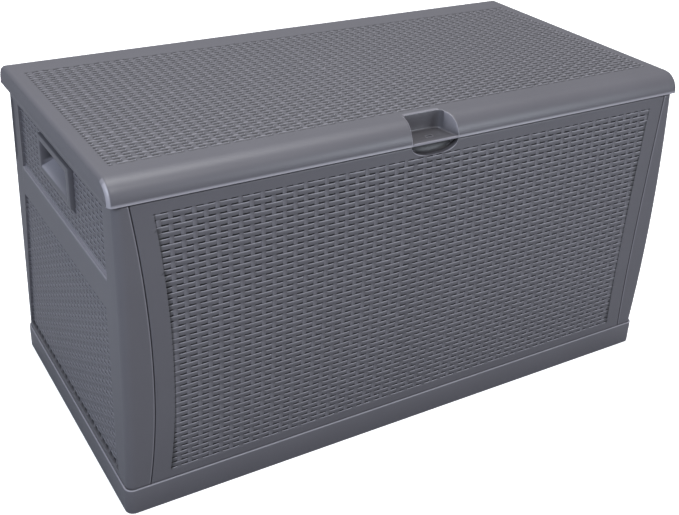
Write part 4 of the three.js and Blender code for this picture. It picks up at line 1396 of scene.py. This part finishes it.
            # the weave's painted shade in pits and painted highlights on the strands
            shade = np.where(woven_top, self.weave.shade(x, y, start), 0.0)
            z = z - np.where(woven_top, self.weave.depth(x, y, start), 0.0)
            self.marks(shade, xi, ride, turn)
        return np.stack([x, y, env.lip + (z - env.lip) * squash], axis=-1), shade

    def build(self, shop: Workshop) -> None:
        """Closes the skin with its inner side, cuts the padlock slot and adds the three hinge knuckles."""
        env = self.env
        outer, shade = self.surface(0.0)
        inner, _ = self.surface(self.wall)
        xi, _, turn = self.columns()
        rows = outer.shape[0]
        row_pick = np.unique(np.concatenate([np.arange(0, 25), [rows // 2], np.arange(rows - 18, rows)]))
        near = np.abs(xi[:, None] - np.array(self.hinge_x)).min(axis=1)
        notch = np.abs(near - self.notch_half) < 0.3 * MM
        keep = (np.abs(xi) < self.fan_out + 1e-6) | (turn > 0) | notch
        column_pick = np.flatnonzero(keep)
        lid = shell("lid_woven", outer, inner, row_pick, column_pick, shade)
        slot = rounded_outline((-7 * MM, env.front + 20.5 * MM), (7 * MM, env.front + 25.5 * MM), 2.4 * MM)
        levels = (env.lip - 5 * MM, env.lip + 9 * MM)
        cutter = [np.column_stack([slot, np.full(len(slot), z)]) for z in levels]
        collar = self.collar()
        for piece in (lid, collar):
            carve(piece, tube("cutter", np.array(cutter)))
        knuckles = [self.knuckle(x) for x in self.hinge_x]
        shop.fit(join("lid_woven", [lid, collar, *knuckles]), "lid", "resin", "lid_shell")

    def collar(self) -> bpy.types.Object:
        """A low raised pad round the padlock slot, through which the slot is cut later."""
        floor = self.env.lip + self.floor_up
        rings = []
        for inset, z in ((0.0, floor - 1 * MM), (0.0, floor + 0.3 * MM), (0.5 * MM, floor + 0.8 * MM)):
            ring = rounded_outline((-9 * MM + inset, self.env.front + 18.5 * MM + inset),
                                   (9 * MM - inset, self.env.front + 27.5 * MM - inset), 3.6 * MM)
            rings.append(np.column_stack([ring, np.full(len(ring), z)]))
        return tube("slot_collar", np.array(rings))

    def knuckle(self, x: float) -> bpy.types.Object:
        """A web from the lid's underside that ends in a solid half round about the pin, with no bore."""
        env, half, radius = self.env, self.knuckle_half, self.knuckle_radius
        turn = np.linspace(0.0, -math.pi, 15)
        nose = np.stack([env.hinge_y + radius * np.cos(turn), env.hinge_z + radius * np.sin(turn)], axis=-1)
        root = np.array([[env.hinge_y - radius, env.top - 3 * MM], [env.rear - 14 * MM, env.top - 9 * MM],
                         [env.rear - 5 * MM, env.hinge_z + 11 * MM]])
        return extruded(np.concatenate([nose, root]), x - half, x + half, 0.6 * MM)


@dataclass
class LidLiner:
    """The sheet that closes the lid from below, pressed with shallow panels between stiffening channels."""

    env: Envelope
    low: Vector
    high: Vector
    across: int = 6
    deep: int = 3
    channel: float = 22 * MM
    slope: float = 4 * MM
    press: float = 1.6 * MM

    def build(self, shop: Workshop) -> None:
        """Height is the press's depth times the lesser of two eased waves, one along X and one along Y."""
        pitch_x = (self.high.x - self.low.x) / self.across
        pitch_y = (self.high.y - self.low.y) / self.deep
        x = self.lines(self.low.x, pitch_x, self.across)
        y = self.lines(self.low.y, pitch_y, self.deep)
        wave_x, wave_y = self.wave(x - self.low.x, pitch_x), self.wave(y - self.low.y, pitch_y)
        sunk = self.press * np.minimum(wave_x[None, :], wave_y[:, None])
        gx, gy = np.meshgrid(x, y)
        outer = np.stack([gx, gy, self.low.z + sunk], axis=-1)
        inner = np.stack([gx, gy, np.full(gx.shape, self.high.z)], axis=-1)
        sheet = shell("lid_liner_pressed", outer, inner, np.array([0, y.size - 1]), np.array([0, x.size - 1]))
        carve(sheet, block((-POCKET_CLEAR, self.low.y - 10 * MM, self.low.z - 5 * MM),
                           (POCKET_CLEAR, self.env.front + 59 * MM, self.high.z + 5 * MM)))
        shop.fit(sheet, "lid", "inner_resin", "lid_liner")

    def lines(self, start: float, pitch: float, count: int) -> Array:
        """Grid lines at each channel's edges and at the feet of its slopes."""
        half = self.channel / 2
        offsets = half + np.array([0.0, 0.25, 0.75, 1.0]) * self.slope
        offsets = np.concatenate([offsets, pitch - offsets[::-1]])
        cells = start + pitch * np.arange(count)[:, None] + offsets
        return np.concatenate([[start], cells.ravel(), [start + pitch * count]])

    def wave(self, place: Array, pitch: float) -> Array:
        """0 in the channels and 1 in the panels, with eased slopes."""
        off = np.mod(place, pitch)
        off = np.minimum(off, pitch - off)
        return ease(self.channel / 2, self.channel / 2 + self.slope, off)


# ---------- light and camera ----------
@dataclass(frozen=True)
class Studio:
    """A pale floor, soft lights and the camera.

    The floor shows paler to the camera than to the light that it throws back, so the walls stay dark near it.
    """

    azimuth: float = -31.398
    elevation: float = 26.4165
    roll: float = 2.349
    eye: Triple = (-1.0404, -1.6772, 1.3229)
    lens: float = 55.19
    shift: tuple[float, float] = (0.0079, -0.0783)
    floor_half: float = 20.0
    floor_tone: tuple[float, ...] = (0.90, 0.90, 0.90, 1.0)
    floor_bounce: tuple[float, ...] = (0.30, 0.305, 0.325, 1.0)
    floor_glow: float = 0.6

    def camera(self) -> None:
        """Turns the camera to its azimuth and elevation, then rolls it a little."""
        a, e, r = (math.radians(v) for v in (self.azimuth, self.elevation, self.roll))
        back = Vector((math.sin(a) * math.cos(e), -math.cos(a) * math.cos(e), math.sin(e)))
        level = Vector((0, 0, 1)).cross(back).normalized()
        tall = back.cross(level)
        right = math.cos(r) * level + math.sin(r) * tall
        up = math.cos(r) * tall - math.sin(r) * level
        data = bpy.data.cameras.new("camera")
        data.lens, data.sensor_width = self.lens, 36.0
        data.shift_x, data.shift_y = self.shift
        cam = bpy.data.objects.new("camera", data)
        cam.matrix_world = Matrix.Translation(self.eye) @ Matrix((right, up, back)).transposed().to_4x4()
        bpy.context.scene.collection.objects.link(cam)
        bpy.context.scene.camera = cam

    def softbox(self, name: str, place: Triple, size: float, power: float, tint: Triple) -> None:
        """A square soft light that faces the middle of the box."""
        data = bpy.data.lights.new(name, "AREA")
        data.size, data.energy, data.color = size, power, tint
        lamp = bpy.data.objects.new(name, data)
        lamp.location = place
        lamp.rotation_euler = (Vector(place) - Vector((0, 0, 0.3))).to_track_quat("Z", "Y").to_euler()
        bpy.context.scene.collection.objects.link(lamp)

    def floor(self) -> None:
        """A wide slab just under the box's foot, whose paint glows a little for the camera only."""
        half = self.floor_half
        corners = np.array([[-half, -half], [half, -half], [half, half], [-half, half]])
        slab = tube("floor", np.array([np.column_stack([corners, np.full(4, z)]) for z in (-0.02, -0.0003)]))
        recipe = Recipe.start("floor_paint")
        seen = recipe.add("LightPath").outputs["Is Camera Ray"]
        tone = recipe.mix(seen, self.floor_bounce, self.floor_tone)
        glow = recipe.add("MapRange", Value=seen, To_Max=self.floor_glow).outputs["Result"]
        slab.data.materials.append(recipe.finish(Base_Color=tone, Roughness=0.9, Emission_Strength=glow,
                                                 Emission_Color=(1.0, 1.0, 1.0, 1.0)))

    def build(self) -> None:
        """Sets up floor, surround, lights and camera."""
        self.floor()
        world = bpy.data.worlds.new("surround")
        world.use_nodes = True
        sky = world.node_tree.nodes["Background"].inputs
        sky["Color"].default_value, sky["Strength"].default_value = (0.85, 0.90, 1.0, 1.0), 0.35
        bpy.context.scene.world = world
        bpy.context.scene.view_settings.view_transform = "Standard"
        self.sun("ceiling", (0.08, 0.14, 0.98), 1.75, 40.0)
        self.softbox("overhead", (0.2, 1.1, 2.9), 2.6, 18.0, (0.93, 0.96, 1.0))
        self.sun("key", (0.10, -0.56, 0.82), 0.7, 12.0)
        self.softbox("left", (-2.7, -0.9, 1.9), 1.0, 42.0, (0.74, 0.85, 1.0))
        self.softbox("front", (1.8, -3.0, 1.3), 1.1, 36.0, (0.84, 0.91, 1.0))
        self.camera()

    def sun(self, name: str, towards: Triple, power: float, spread: float) -> None:
        """A distant light in the given direction, as wide as spread degrees."""
        data = bpy.data.lights.new(name, "SUN")
        data.energy, data.angle = power, math.radians(spread)
        lamp = bpy.data.objects.new(name, data)
        lamp.rotation_euler = Vector(towards).to_track_quat("Z", "Y").to_euler()
        bpy.context.scene.collection.objects.link(lamp)


def main() -> None:
    """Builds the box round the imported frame, lights it and places the camera."""
    logging.basicConfig(level=logging.INFO, format="%(message)s")
    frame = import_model()
    env = Envelope.read(frame)
    form = BodyForm(env)
    pins = [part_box(n) for n in frame["nodes"] if n.startswith("hinge_pin")]
    hinge_x = tuple(sorted((low.x + high.x) / 2 for low, high in pins))
    shop = Workshop()
    shop.add_finish("resin", Resin("slate_resin", (0.119, 0.113, 0.125)))
    shop.add_finish("inner_resin", Resin("slate_resin_inside", (0.107, 0.102, 0.113), roughness=0.55))
    shop.add_finish("steel", Plated("galvanised_steel", (0.56, 0.57, 0.58), 0.42))
    shop.add_finish("zinc", Plated("zinc_plate", (0.66, 0.66, 0.67), 0.34, spangle=900.0))
    BasePlinth(env).build(shop, [n for n in frame["nodes"] if n.startswith("base_screw")])
    WovenFrontPanel(form, WALL_WEAVE).build(shop)
    WovenBackPanel(form, WALL_WEAVE, hinge_x).build(shop)
    grip_low, grip_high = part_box("right_hand_grip")
    flange = np.array([16.0, -8.0, 16.0, -8.0]) * MM
    mouth = np.array([grip_low.y, grip_high.y, grip_low.z, grip_high.z]) + flange
    hole = mouth + np.array([-4.0, 4.0, -4.0, 4.0]) * MM
    for side in Side:
        WovenSidePanel(form, WALL_WEAVE, tuple(hole)).build(shop, side)
        HandGrip(grip_high.x, tuple(mouth)).build(shop, side)
    RolledLid(env, LID_WEAVE, hinge_x).build(shop)
    liner_low, liner_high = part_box("lid_liner")
    LidLiner(env, liner_low, liner_high).build(shop)
    for name, node in sorted(frame["nodes"].items()):
        if not node.hide_render:
            shop.dress(node, "zinc" if "screw" in name else "steel")
    Studio().build()


if __name__ == "__main__":
    main()
